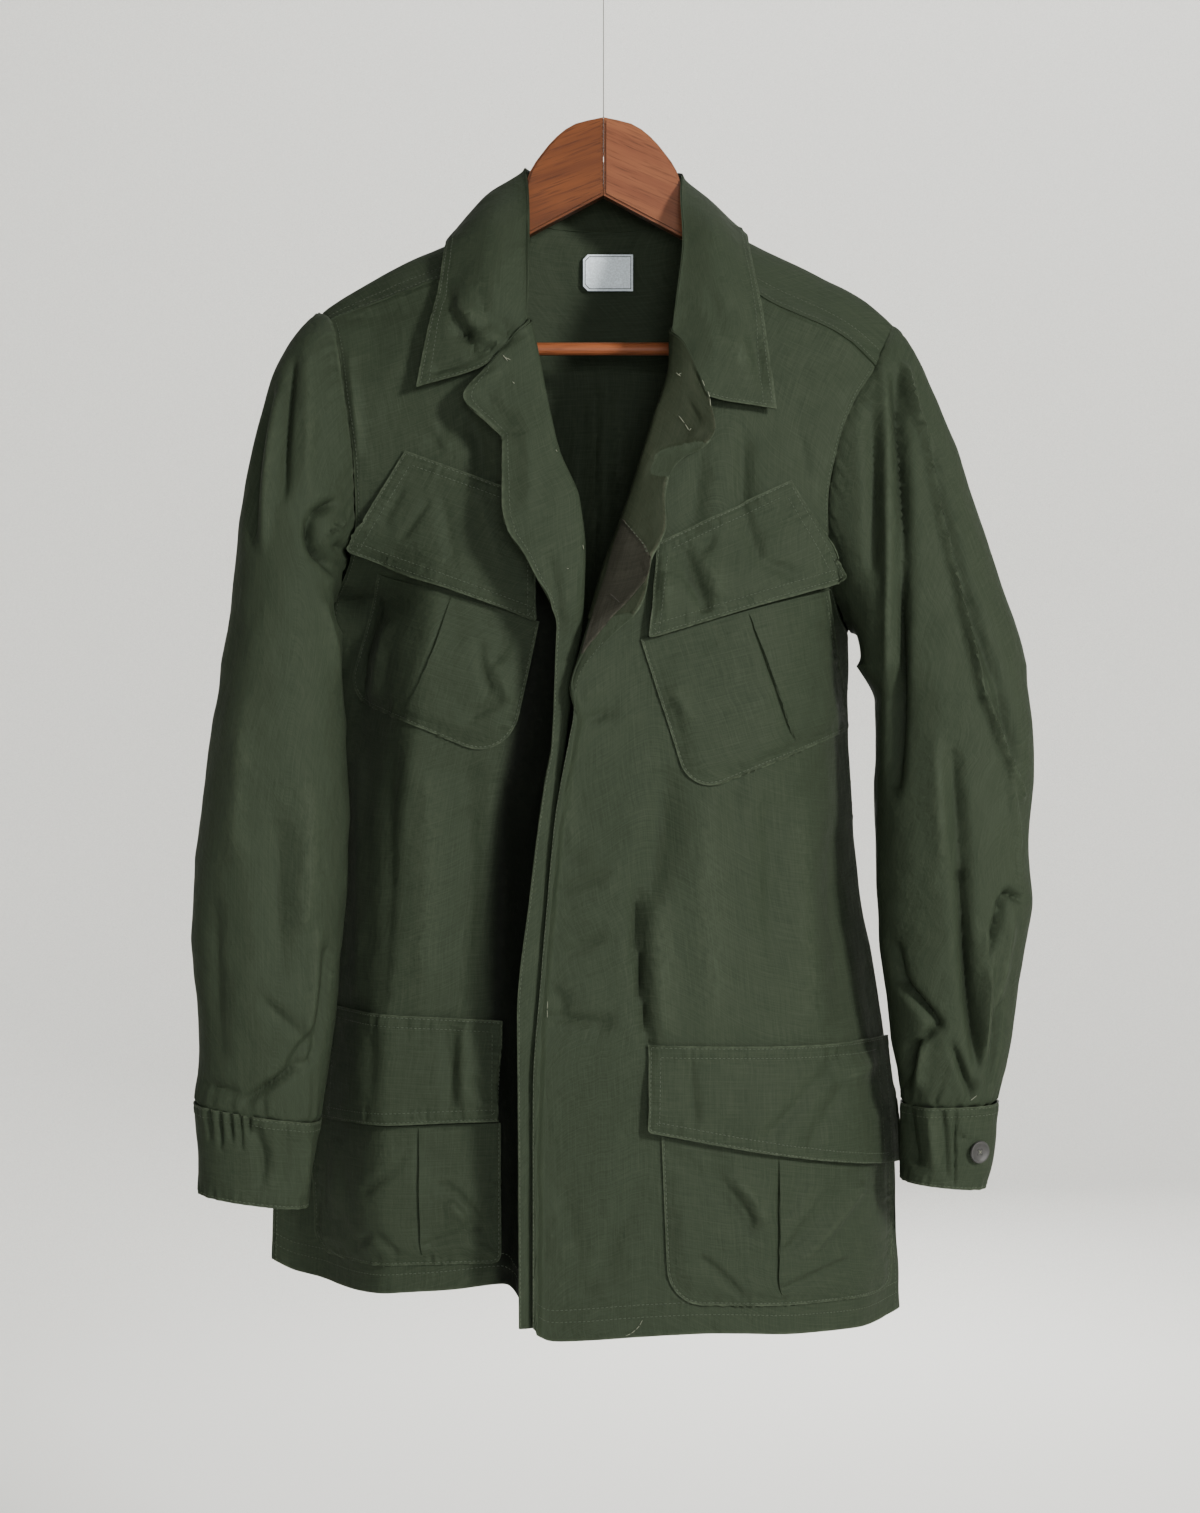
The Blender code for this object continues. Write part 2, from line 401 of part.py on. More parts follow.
def collar_grid(stations=24):
    """The collar: neck seam, stand, fold and leaf at each station round the neck."""
    line = neck_line()
    length = np.concatenate([[0], np.cumsum(np.linalg.norm(np.diff(line, axis=0), axis=1))])
    grid = []
    for part in np.linspace(0, 1, stations + 1):
        seam = np.array([np.interp(part * length[-1], length, line[:, axis]) for axis in range(3)])
        fold, middle, edge = along(COLLAR, part)[0].reshape(3, 3)
        seam = seam + (fold - seam) * 0.05 + np.array([0, 0, 0.0018])
        outward = (middle - fold) / np.linalg.norm(middle - fold)
        turn = fold + outward * 0.004 - np.array([0, 0, 0.0012])
        inner = fold + (seam - fold) * 0.12
        section = np.stack([seam, seam + (fold - seam) * 0.5, inner, fold, turn, middle, edge])
        grid.append(follow((0, 0.2, 0.34, 0.4, 0.46, 0.72, 1), section,
                           (0, 0.16, 0.34, 0.4, 0.46, 0.62, 0.82, 1)))
    return np.stack(grid)


def tube_ring(row, around, square=0.9):
    """A ring of a sleeve or cuff: around is 0 outside, 0.25 in front, 0.5 inside, 0.75 behind."""
    down_out, down_in, x_out, x_in, y_front, y_back = row
    angle = 2 * math.pi * around
    wide, deep = np.cos(angle), np.sin(angle)
    wide = np.sign(wide) * np.abs(wide) ** square
    deep = np.sign(deep) * np.abs(deep) ** square
    x = (x_out + x_in) / 2 + (x_out - x_in) / 2 * wide
    y = (y_front + y_back) / 2 + (y_front - y_back) / 2 * deep
    z = -(down_out + down_in) / 2 - (down_out - down_in) / 2 * wide
    return np.column_stack([x, y, z])


def folded(grid, normals, folds):
    """Move points out or in along straight folds, each placed as it is seen from the front."""
    moved = grid.copy()
    for x1, down1, x2, down2, width, height in folds:
        run = np.array([x2 - x1, down1 - down2])
        length = np.linalg.norm(run)
        spot = grid[..., (0, 2)] - (x1, -down1)
        part = spot @ run / length ** 2
        beside = (spot[..., 0] * run[1] - spot[..., 1] * run[0]) / length
        beyond = np.maximum(0, np.abs(part - 0.5) - 0.35) * length / (0.15 * length + width)
        facing = np.clip(-normals[..., 1], 0, 1)
        rise = height * np.exp(-(beside / width) ** 2 - beyond ** 2) * facing
        moved += normals * rise[..., None]
    return moved


def sleeve_grid(name, turns=TURNS, cap=7, rows=12):
    """A sleeve's rings, from the armhole to the cuff seam."""
    side = SIDES[name]
    around = np.arange(turns) / turns
    hole = armhole(side, around)
    table = np.asarray(side["sleeve"], float)
    first = tube_ring(table[0], around)
    behind = np.exp(-((around - UNDERARM_AT) / UNDERARM_WIDE) ** 2)
    rings = []
    for t in np.arange(cap) / cap:
        sideways = 1 - (1 - t) ** side["cap"][0]
        drop = t ** side["cap"][1]
        share = np.array([sideways, sideways, drop])
        bulge = side["sign"] * UNDERARM_BULGE * math.sin(math.pi * t) * behind
        rings.append(hole + (first - hole) * share + bulge[:, None] * (1, 0, 0))
    for down in np.linspace(table[0, 0], table[-1, 0], rows + 1):
        rings.append(tube_ring(along(np.column_stack([table[:, 0], table]), down)[0], around))
    grid = np.stack(rings)
    return folded(grid, face_out(grid, grid.mean(axis=(0, 1)), True), side["sleeve_folds"])


def cuff_grid(name, turns=TURNS, rows=3):
    """A cuff's rings."""
    table = np.asarray(SIDES[name]["cuff"], float)
    around = np.arange(turns) / turns
    downs = np.linspace(table[0, 0], table[-1, 0], rows + 1)
    return np.stack([tube_ring(along(np.column_stack([table[:, 0], table]), down)[0], around)
                     for down in downs])


def patch_outline(patch, u, v):
    """x and down on a pocket or flap: u runs across it and v down it, within its round lower corners."""
    corner = np.array(patch["corners"])
    wide = np.linalg.norm(corner[1] - corner[0])
    tall = np.linalg.norm(corner[3] - corner[0])
    inset = []
    for radius in patch["round"]:
        short = np.clip(radius - (1 - v) * tall, 0, radius)
        inset.append((radius - np.sqrt(radius ** 2 - short ** 2)) / wide)
    across = (inset[0] + u * (1 - inset[0] - inset[1]))[..., None]
    down = v[..., None]
    top = corner[0] + (corner[1] - corner[0]) * across
    low = corner[3] + (corner[2] - corner[3]) * across
    return top + (low - top) * down


def patch_grid(patch, columns=10):
    """A pocket's or flap's points, moved out from its front."""
    u, v = np.meshgrid(np.linspace(0, 1, columns + 1), PATCH_ROWS)
    pleat = np.zeros(u.shape)
    if "pleat" in patch:
        line = patch["pleat"][0] + (patch["pleat"][1] - patch["pleat"][0]) * v
        pleat = PLEAT_DEPTH * (u == 0.5) * np.sin(math.pi * v) ** 0.5
        u = np.where(u < 0.5, 2 * u * line, 1 - 2 * (1 - u) * (1 - line))
    flat = patch_outline(patch, u, v)
    points = on_front(patch["side"], flat[..., 0], flat[..., 1])
    low, high = patch["off"]
    rise = np.sin(np.pi * np.clip(u, 0, 1)) ** 0.5 * np.sin(np.pi * np.clip(v * 0.9 + 0.05, 0, 1)) ** 0.5
    off = low + (high - low) * rise - pleat
    points = points + face_out(points, (0, 0.1, -0.45)) * (off + CLOTH)[..., None]
    first, last = patch.get("lift", (0, 0))
    points[..., 1] -= v ** 2 * (first * (1 - u) ** 5 + last * u ** 5)
    return points


def face_out(grid, inside, around=False, level=False):
    """Unit normals of a grid of points, pointing away from the point `inside`; level ones stay horizontal."""
    if around:
        padded = np.concatenate([grid[:, -1:], grid, grid[:, :1]], axis=1)
        across = (padded[:, 2:] - padded[:, :-2])
    else:
        across = np.gradient(grid, axis=1)
    down = np.array([0, 0, -1]) if level else np.gradient(grid, axis=0)
    normal = np.cross(across, down)
    size = np.linalg.norm(normal, axis=2, keepdims=True)
    normal = normal / np.where(size > 1e-12, size, 1)
    outward = (normal * (grid - np.asarray(inside))).sum()
    return normal if outward > 0 else -normal


EDGES = {"top": ((0,), (1,)), "bottom": ((-1,), (-2,)),
         "first": ((slice(None), 0), (slice(None), 1)), "last": ((slice(None), -1), (slice(None), -2))}


def mitre(normals, edge, direction):
    """Lean an edge's wall along a direction that the piece across the seam shares."""
    normals = normals.copy()
    here = EDGES[edge][0]
    lean = np.maximum((normals[here] * direction).sum(axis=-1, keepdims=True), 0.75)
    normals[here] = np.asarray(direction) / lean
    return normals


def stop_short(grid, edges, amount=SEAM):
    """Pull the named edges of a grid back from their seams, along the cloth."""
    grid = grid.copy()
    for edge in edges:
        here, inner = EDGES[edge]
        toward = grid[inner] - grid[here]
        size = np.linalg.norm(toward, axis=-1, keepdims=True)
        grid[here] = grid[here] + toward / np.where(size > 1e-9, size, 1) * amount
    return grid


def material(name, colour, rough=0.85, metal=0.0):
    """A plain Principled material."""
    made = bpy.data.materials.get(name) or bpy.data.materials.new(name)
    made.use_nodes = True
    shader = made.node_tree.nodes["Principled BSDF"]
    shader.inputs["Base Color"].default_value = colour
    shader.inputs["Roughness"].default_value = rough
    shader.inputs["Metallic"].default_value = metal
    return made


def keep_object(name, mesh, surface):
    """Add a named object with its material."""
    thing = bpy.data.objects.new(name, mesh)
    bpy.context.scene.collection.objects.link(thing)
    mesh.materials.append(surface)
    return thing


def wall(name, grid, surface, inside, around=False, keep=None, thick=CLOTH, normals=None):
    """A closed wall whose outer side passes through the grid's points."""
    rows, columns = grid.shape[:2]
    if normals is None:
        normals = face_out(grid, inside, around)
    if keep is None:
        keep = np.ones((rows - 1, columns if around else columns - 1), bool)
    shape = bmesh.new()
    layers = []
    for offset in (0, thick):
        points = grid - normals * offset
        layers.append([[shape.verts.new(points[r, c]) for c in range(columns)] for r in range(rows)])
    edges = {}
    for r, c in np.argwhere(keep):
        ring = ((r, c), (r + 1, c), (r + 1, (c + 1) % columns), (r, (c + 1) % columns))
        for corners in (ring[:3], (ring[0],) + ring[2:]):
            shape.faces.new([layers[0][i][j] for i, j in corners])
            shape.faces.new([layers[1][i][j] for i, j in reversed(corners)])
        for start, end in zip(ring, ring[1:] + ring[:1]):
            edges[(start, end)] = True
    for start, end in edges:
        if (end, start) not in edges:
            shape.faces.new([layers[0][end[0]][end[1]], layers[0][start[0]][start[1]],
                             layers[1][start[0]][start[1]], layers[1][end[0]][end[1]]])
    loose = [vert for vert in shape.verts if not vert.link_faces]
    bmesh.ops.delete(shape, geom=loose, context="VERTS")
    bmesh.ops.recalc_face_normals(shape, faces=shape.faces)
    if shape.calc_volume(signed=True) < 0:
        bmesh.ops.reverse_faces(shape, faces=shape.faces)
    mesh = bpy.data.meshes.new(name)
    shape.to_mesh(mesh)
    shape.free()
    mesh.shade_smooth()
    return keep_object(name, mesh, surface)


def hanger_outline(steps=12):
    """One half of the hanger, seen from the front: x outward and z."""
    head = follow(np.arange(len(HEAD)), np.array(HEAD), np.linspace(0, len(HEAD) - 1, steps + 1))
    points = [(max(x, JOINT), -down) for x, down in head]

    def top(x):
        return x, -ARM_TOP_DOWN - ARM_SLOPE * x

    def foot(x, lower=0.0):
        return x, -ARM_FOOT_DOWN - lower - ARM_SLOPE * x

    points += [(0.06, -0.0725), top(0.068), top(0.18), (0.19, top(0.19)[1] - 0.0015),
               (ARM_END, top(ARM_END)[1] - 0.006), (ARM_END, -0.174), (0.191, -0.179),
               (BAR_END + 0.004, -0.179), (BAR_END, -0.174), foot(BAR_END, 0.006), foot(0.085, 0.006),
               foot(0.065), foot(JOINT)]
    return points


def hanger_half(name, sign, surface):
    """A flat shaped wooden half with softly bevelled edges."""
    shape = bmesh.new()
    outline = [(sign * x, z) for x, z in hanger_outline()]
    verts = [shape.verts.new((x, -HANGER_THICK / 2, z)) for x, z in outline]
    face = shape.faces.new(verts)
    pushed = bmesh.ops.extrude_face_region(shape, geom=[face])["geom"]
    moved = [item for item in pushed if isinstance(item, bmesh.types.BMVert)]
    bmesh.ops.translate(shape, verts=moved, vec=(0, HANGER_THICK, 0))
    bmesh.ops.recalc_face_normals(shape, faces=shape.faces)
    rims = [edge for edge in shape.edges if abs(edge.verts[0].co.y - edge.verts[1].co.y) < 1e-6]
    bmesh.ops.bevel(shape, geom=rims, offset=HANGER_BEVEL, segments=2, affect="EDGES", clamp_overlap=True)
    mesh = bpy.data.meshes.new(name)
    shape.to_mesh(mesh)
    shape.free()
    mesh.shade_smooth()
    mesh.set_sharp_from_angle(angle=math.radians(40))
    return keep_object(name, mesh, surface)


def cylinder(name, start, end, radius, surface, sides=16, bevel=0.0):
    """A round bar between two points."""
    start, end = np.asarray(start, float), np.asarray(end, float)
    axis = (end - start) / np.linalg.norm(end - start)
    across = np.cross(axis, (0, 1, 0) if abs(axis[1]) < 0.9 else (1, 0, 0))
    across /= np.linalg.norm(across)
    other = np.cross(axis, across)
    shape = bmesh.new()
    rings = []
    steps = [(start, radius - bevel), (start + axis * bevel, radius), (end - axis * bevel, radius),
             (end, radius - bevel)] if bevel else [(start, radius), (end, radius)]
    for centre, size in steps:
        turn = [2 * math.pi * k / sides for k in range(sides)]
        rings.append([shape.verts.new(centre + size * (math.cos(a) * across + math.sin(a) * other))
                      for a in turn])
    for low, high in zip(rings, rings[1:]):
        for k in range(sides):
            shape.faces.new((low[k], low[(k + 1) % sides], high[(k + 1) % sides], high[k]))
    shape.faces.new(rings[0][::-1])
    shape.faces.new(rings[-1])
    bmesh.ops.recalc_face_normals(shape, faces=shape.faces)
    mesh = bpy.data.meshes.new(name)
    shape.to_mesh(mesh)
    shape.free()
    mesh.shade_smooth()
    mesh.set_sharp_from_angle(angle=math.radians(40))
    return keep_object(name, mesh, surface)


def thread_tube(name, points, surface, closed=False):
    """The thread as a thin bevelled curve."""
    curve = bpy.data.curves.new(name, "CURVE")
    curve.dimensions = "3D"
    curve.bevel_depth = THREAD_RADIUS
    curve.bevel_resolution = 2
    curve.use_fill_caps = not closed
    spline = curve.splines.new("POLY")
    spline.points.add(len(points) - 1)
    for point, place in zip(spline.points, points):
        point.co = (*place, 1)
    spline.use_cyclic_u = closed
    curve.materials.append(surface)
    thing = bpy.data.objects.new(name, curve)
    bpy.context.scene.collection.objects.link(thing)
    return thing


def build_hanger():
    """Two halves, the dowel between their ends, and the taut thread with its loop."""
    wood = material("wood", WOOD, 0.4)
    hanger_half("hanger_right", -1, wood)
    hanger_half("hanger_left", 1, wood)
    reach = BAR_END - CLEAR
    cylinder("hanger_bar", (-reach, 0, -BAR_DOWN), (reach, 0, -BAR_DOWN), BAR_RADIUS, wood)
    thread = material("thread", THREAD, 0.8)
    heights = np.linspace(0.0006, THREAD_TOP, 32)
    thread_tube("hang_cord", [(0, 0, z) for z in heights], thread)
    turns = np.linspace(0, 2 * math.pi, 25)[:-1]
    centre = THREAD_TOP + LOOP_RADIUS + 2 * THREAD_RADIUS
    thread_tube("hang_loop", [(LOOP_RADIUS * math.sin(a), 0, centre - LOOP_RADIUS * math.cos(a))
                              for a in turns], thread, closed=True)


def build_button(name, centre, facing, surface):
    """A flat round button whose back is just clear of the cloth."""
    facing = np.asarray(facing) / np.linalg.norm(facing)
    start = np.asarray(centre) + facing * SHANK
    cylinder(name, start, start + facing * BUTTON_THICK, BUTTON_RADIUS, surface, 16, 0.0006)


def build_body(cloth, facing):
    """Fronts, facings, back, yoke and collar."""
    middle = (0, 0.01, -0.45)
    for name, side in SIDES.items():
        grid = stop_short(stop_short(front_grid(name), ("top",), SEAM * 2), ("first",), ARMHOLE_SEAM / 2)
        normals = mitre(face_out(grid, middle, level=True), "first", (side["sign"], 0, 0))
        shoulder = FRONT_SHARES.index(SHOULDER_TO) + 1
        normals[:, :shoulder] = mitre(normals[:, :shoulder], "top", SHOULDER_LEAN)
        wall(name + "_front", grid, cloth, middle, normals=normals)
        first = FRONT_SHARES.index(FACING_FROM)
        last = len(FRONT_SHARES) if name == "right" else len(FRONT_SHARES) - 2
        rows = slice(1, FRONT_ROWS + 1) if name == "right" else slice(1, 8)
        strip = (grid - normals * (CLOTH + CLEAR))[rows, first:last]
        wall(name + "_facing", strip, facing, middle, thick=FACING_THICK, normals=normals[rows, first:last])
    grid = stop_short(stop_short(back_grid(), ("top",)), ("first", "last"), ARMHOLE_SEAM)
    normals = mitre(mitre(face_out(grid, middle), "first", (-1, 0, 0)), "last", (1, 0, 0))
    normals = mitre(normals, "top", YOKE_LEAN)
    wall("back", grid, cloth, middle, normals=normals)
    grid, keep = yoke_grid()
    grid = stop_short(stop_short(grid, ("top", "bottom")), ("first", "last"), ARMHOLE_SEAM / 2)
    normals = mitre(mitre(face_out(grid, (0, 0, -0.4)), "top", SHOULDER_LEAN), "bottom", YOKE_LEAN)
    wall("yoke", grid, cloth, None, keep=keep, normals=normals)
    grid = stop_short(collar_grid(), ("top", "bottom"), COLLAR_SHORT)
    wall("collar", grid, cloth, (0, 0, -0.4))


def build_sleeves(cloth, horn):
    """Sleeves, cuffs and cuff buttons."""
    for name, side in SIDES.items():
        grid = sleeve_grid(name)
        normals = face_out(grid, grid.mean(axis=(0, 1)), True)
        grid = stop_short(grid, ("top", "bottom"), ARMHOLE_SEAM)
        wall(name + "_sleeve", grid, cloth, None, True, normals=normals)
        cuff = cuff_grid(name)
        centre = cuff.mean(axis=(0, 1))
        wall(name + "_cuff", cuff, cloth, centre, True, normals=face_out(cuff, centre, True))
        turn = int(round(side["cuff_button"] * TURNS))
        place, out = cuff[1, turn], face_out(cuff, centre, True)[1, turn]
        build_button(name + "_cuff_button", place, out, horn)


def build_patches(cloth):
    """Pockets and flaps."""
    for name, patch in PATCHES.items():
        grid = patch_grid(patch)
        wall(name, grid, cloth, (0, 0.1, -0.45))


def build_label(white):
    """The white label inside the yoke."""
    left, right, top, bottom = LABEL
    rows = []
    for down in (top, bottom):
        y = YOKE_INSIDE + (down - YOKE_INSIDE_DOWN) * YOKE_INSIDE_SLOPE - LABEL_PROUD
        rows.append([(x, y, -down) for x in (left, right)])
    wall("label", np.array(rows), white, (0, 0.2, -0.1), thick=LABEL_THICK)


def main():
    """Clear the file's objects and build every piece."""
    for thing in list(bpy.data.objects):
        bpy.data.objects.remove(thing, do_unlink=True)
    cloth = material("olive_cotton", OLIVE, 0.9)
    facing = material("facing_cotton", FACING, 0.9)
    horn = material("button", HORN, 0.45)
    white = material("label_white", WHITE, 0.7)
    build_hanger()
    build_body(cloth, facing)
    build_sleeves(cloth, horn)
    build_patches(cloth)
    build_label(white)


main()
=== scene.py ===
"""The looks of the jungle jacket: creased cloth over each panel, stitching, wood, label, thread and light.

Metres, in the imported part's frame: the origin is the top of the hanger's head, +Z is up and the front
faces -Y. "down" is a distance below the origin. Folds are placed as seen from the front.
"""

import math

import bmesh
import bpy
import numpy as np
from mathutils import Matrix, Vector, noise
from mathutils.bvhtree import BVHTree


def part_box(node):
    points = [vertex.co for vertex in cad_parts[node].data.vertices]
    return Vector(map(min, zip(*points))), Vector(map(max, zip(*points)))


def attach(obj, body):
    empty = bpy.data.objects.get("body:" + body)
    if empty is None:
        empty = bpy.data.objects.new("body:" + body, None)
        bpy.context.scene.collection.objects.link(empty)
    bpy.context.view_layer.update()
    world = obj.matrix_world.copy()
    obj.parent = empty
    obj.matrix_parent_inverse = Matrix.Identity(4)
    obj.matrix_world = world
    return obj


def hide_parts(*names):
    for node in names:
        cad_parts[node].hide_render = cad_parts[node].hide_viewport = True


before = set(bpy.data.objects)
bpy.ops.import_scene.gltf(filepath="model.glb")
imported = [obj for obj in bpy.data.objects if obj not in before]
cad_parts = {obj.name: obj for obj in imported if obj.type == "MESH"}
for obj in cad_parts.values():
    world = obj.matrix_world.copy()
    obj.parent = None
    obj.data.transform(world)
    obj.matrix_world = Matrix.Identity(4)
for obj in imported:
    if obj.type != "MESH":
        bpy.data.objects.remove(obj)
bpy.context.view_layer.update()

CLOTH = 0.0011  # one layer of cloth
FACING_CLOTH = 0.0009  # one layer of a facing
CLEAR = 0.0005  # air between layers that lie on each other
STITCH = 0.0023  # length of one stitch
PITCH = 0.0031  # from one stitch to the next
THREAD_THICK = 0.00046  # the sewing thread
STITCH_SINK = 0.0003  # how far a stitch's ends dip into the cloth
BUTTON_RADIUS = 0.008
HANG_RADIUS = 0.0003  # half the thickness of the thread that the hanger hangs by
# distances from a sewn edge at which a panel gets points, finest where its stitches lie
NEAR_EDGE = (0.0008, 0.0016, 0.0026, 0.004, 0.0054, 0.0066, 0.0078, 0.0098, 0.0124)
FIRST_ROW, SECOND_ROW = 2, 6  # the places in NEAR_EDGE, counted from 1, of the two rows of stitches
SEAM_LINE = 3  # the place, counted from a side seam, of the points that its stitches follow
FOLD_STRENGTH = 3.0  # how much deeper the folds are laid than a first reading of their shading
FOLD_UNITS = 10000  # how many of the folds' units a metre has
FOLD_POINTS = 13  # points along a fold's line
RIPSTOP = 0.0048  # from one thicker thread to the next
ROWS_IN = (0.0017, 0.0082)  # how far in from a sewn edge its two rows of stitches lie
HEM_ROWS = (0.0138, 0.0198)  # the same above a hem
PLEAT_ENDS = (0.02, 0.93)  # the part of a pocket's height that its pleat takes
# how far aside from a pleat's lip its pocket's points lie
PLEAT_POINTS = np.array([-0.0052, -0.0036, -0.0022, -0.0011, -0.0004, 0, 0.0004, 0.0011, 0.0022, 0.0036])
COLLAR_LAP = 0.0045  # how far the collar laps over the neck seam inside
FRONT_CROWD = 0.42  # how much closer a sleeve's points are in front
TURNS, CAP_RINGS, SLEEVE_RINGS = 152, 50, 140  # a sleeve's points round, and its rings in its cap and below
TUBE_SQUARE = 0.9  # how square a sleeve's rings are: 1 is an ellipse, less is squarer
FRONTWARD = (0, -1, 0)

OLIVE = (0.0128, 0.0180, 0.0104, 1)
OLIVE_WORN = (0.046, 0.057, 0.037, 1)
OLIVE_FADED = (0.0170, 0.0228, 0.0140, 1)
# The left facing's own browner olive, made darker partly as painted shade of its turned lapel.
FACING = (0.0092, 0.0128, 0.0067, 1)
FACING_WORN = (0.034, 0.036, 0.023, 1)
FACING_FADED = (0.0108, 0.0136, 0.0078, 1)
FLY = (0.0086, 0.0086, 0.0060, 1)
FLY_WORN = (0.042, 0.040, 0.030, 1)
# how far the cotton's tone goes over to faded in blotches, and to worn in single threads and in thicker ones
BLOTCH_TONE, THREAD_TONE, GRID_TONE = 0.45, 0.24, 0.08
PAINTED_SHADE_TONE = 0.1  # the share of its colour that cloth keeps where shade is painted on it, deep in folds and in the right front's valley

# The photograph: the camera is level, and one pixel of its 1200 x 1513 is this wide at the hanger.
METRES_PER_PIXEL = 0.00072
CAMERA_AWAY = 1.8
CAMERA_X, CAMERA_Z = -0.0025, -0.459
FLOOR, WALL_TOP = -1.45, 3.2  # heights of the studio
FLOOR_FLAT, WALL_AWAY = 2.2, 4.0  # its radii from the Z axis
SWEEP = 1.4  # the radius of the bend between its floor and wall
# name, place, aim, size, power, colour
LIGHTS = [("key", (1.60, -2.08, 0.35), (0, 0, -0.45), 0.42, 141, (1.0, 0.985, 0.95)),
          ("front", (0.25, -3.0, -0.30), (0, 0, -0.45), 0.8, 50, (0.97, 0.985, 1.0)),
          ("behind", (0.5, 2.9, 0.1), (0, 0, -0.45), 2.0, 70, (1.0, 1.0, 0.98)),
          ("wall", (0.6, 1.6, 2.8), (0.2, 4.0, -0.3), 1.6, 116, (1.0, 1.0, 0.98))]
WORLD_STRENGTH = 0.12
FLY_FROM = 0.33  # distance down the left front, past which its edge lies flat
FLY_TURN = 0.08  # share of the left front's width by which its turned edge is narrower there
LAPEL_TO = 0.40  # distance down the left front as far as which its facing shows
FLY_PROUD = 0.0018  # from the left facing out to the inner fly layer's face
FLY_SIZE, FLY_SEWN = (0.04, 0.1), 0.28  # its width and length, and the share of it with stitches at its edge
# The inner fly layer: x and down of its left and right edge, from its upper corner to its lower one.
FLY_LEFT = [(0.0125, 0.2961), (0.0104, 0.3036), (0.0075, 0.3110), (0.0045, 0.3215), (0.0016, 0.3335),
            (-0.0025, 0.3458), (-0.0073, 0.3607), (-0.0120, 0.3771), (-0.0154, 0.3893)]
FLY_RIGHT = [(0.0138, 0.2975), (0.0281, 0.3145), (0.0322, 0.3233), (0.0315, 0.3308), (0.0281, 0.3390),
             (0.0159, 0.3539), (0.0057, 0.3641), (-0.0059, 0.3784), (-0.0141, 0.3879)]
BUTTONHOLE = (0.0052, 0.3490, 0.0100, 0.3535)  # x and down of its two ends
# Frayed threads left by a removed label and by lost buttons: x and down of both ends.
THREAD_ENDS = {
    "right": [(-0.0700, 0.1810, -0.0660, 0.1860), (-0.0690, 0.1830, -0.0640, 0.1850),
              (-0.0630, 0.2000, -0.0615, 0.2015), (-0.0330, 0.2480, -0.0318, 0.2495),
              (-0.0145, 0.3140, -0.0135, 0.3175), (-0.0252, 0.3310, -0.0238, 0.3310)],
    "left": [(0.0500, 0.1930, 0.0535, 0.1960), (0.0510, 0.1950, 0.0540, 0.1935),
             (0.0515, 0.2230, 0.0560, 0.2290), (0.0560, 0.2290, 0.0590, 0.2340),
             (0.0590, 0.2340, 0.0605, 0.2325), (0.0680, 0.1980, 0.0700, 0.2030),
             (0.0720, 0.2060, 0.0735, 0.2110), (0.0735, 0.2110, 0.0738, 0.2170)],
}
JOINT_CLOSED = [(0.0012, 0.0258), (0.0325, 0.0500)]  # down at both ends of the parts of the hanger joint that a dark sheet of painted shade fills
JOINT_INSET = 0.0012
# x and down along the loose thread at the left front's hem, and along the bar of stitches on its fly
LOOSE_THREADS = [[(0.0150, 0.8560), (0.0186, 0.8545), (0.0219, 0.8520), (0.0246, 0.8490), (0.0266, 0.8452)],
                 [(-0.0384, 0.6262), (-0.0387, 0.6322), (-0.0386, 0.6384)]]
CUFF_THREAD = [(0.2540, 0.6978), (0.2592, 0.6938)]  # x and down of the stray thread above the left cuff
TUCK = 0.0024  # how far a sleeve's ends pass under the cloth that they are sewn to
# Shares of a front's width, from the armhole or side seam to the front edge: where its key lines run.
FRONT_KEYS = (0.0, 0.16, 0.38, 0.6, 0.76, 0.82, 0.88, 1.0)
SHOULDER_TO = 0.6  # share of a front's width where its shoulder seam ends at the neck
ROLL_AT = 0.82  # share of a front's width where it rolls outward
CHEST_AT, FLANK_AT = 0.55, 0.2  # how far in from the side toward the valley the chest and flank lines run
UNDER_ROLL = 0.007  # how far the front passes behind its own roll
FACING_FROM = 0.72  # share of a front's width where its facing starts
FLAT_COLUMNS = 98  # how many of a front's columns lie short of its turned edge, for pockets to lie on
BACK_FOLD, BACK_FOLDS = 0.006, 4.5  # depth of the back's hanging folds at the hem, and how many there are
CENTRE_CREASE, CENTRE_CREASE_WIDE = 0.004, 0.03  # the pressed crease down the middle of the back
YOKE_SHARE, NECK_SHARE = 0.33, 0.34  # shares of the back's width: a shoulder of the yoke, and the neck
YOKE_RIDGE, YOKE_BEHIND = 0.35, 0.6  # where a yoke column passes the shoulder's ridge and the neck's corner
UNDERARM_BULGE = 0.0185  # how far a sleeve swells outward just below its armhole, behind
UNDERARM_AT = 0.64  # where that is round the sleeve
UNDERARM_WIDE = 0.144  # and how much of the way round it takes

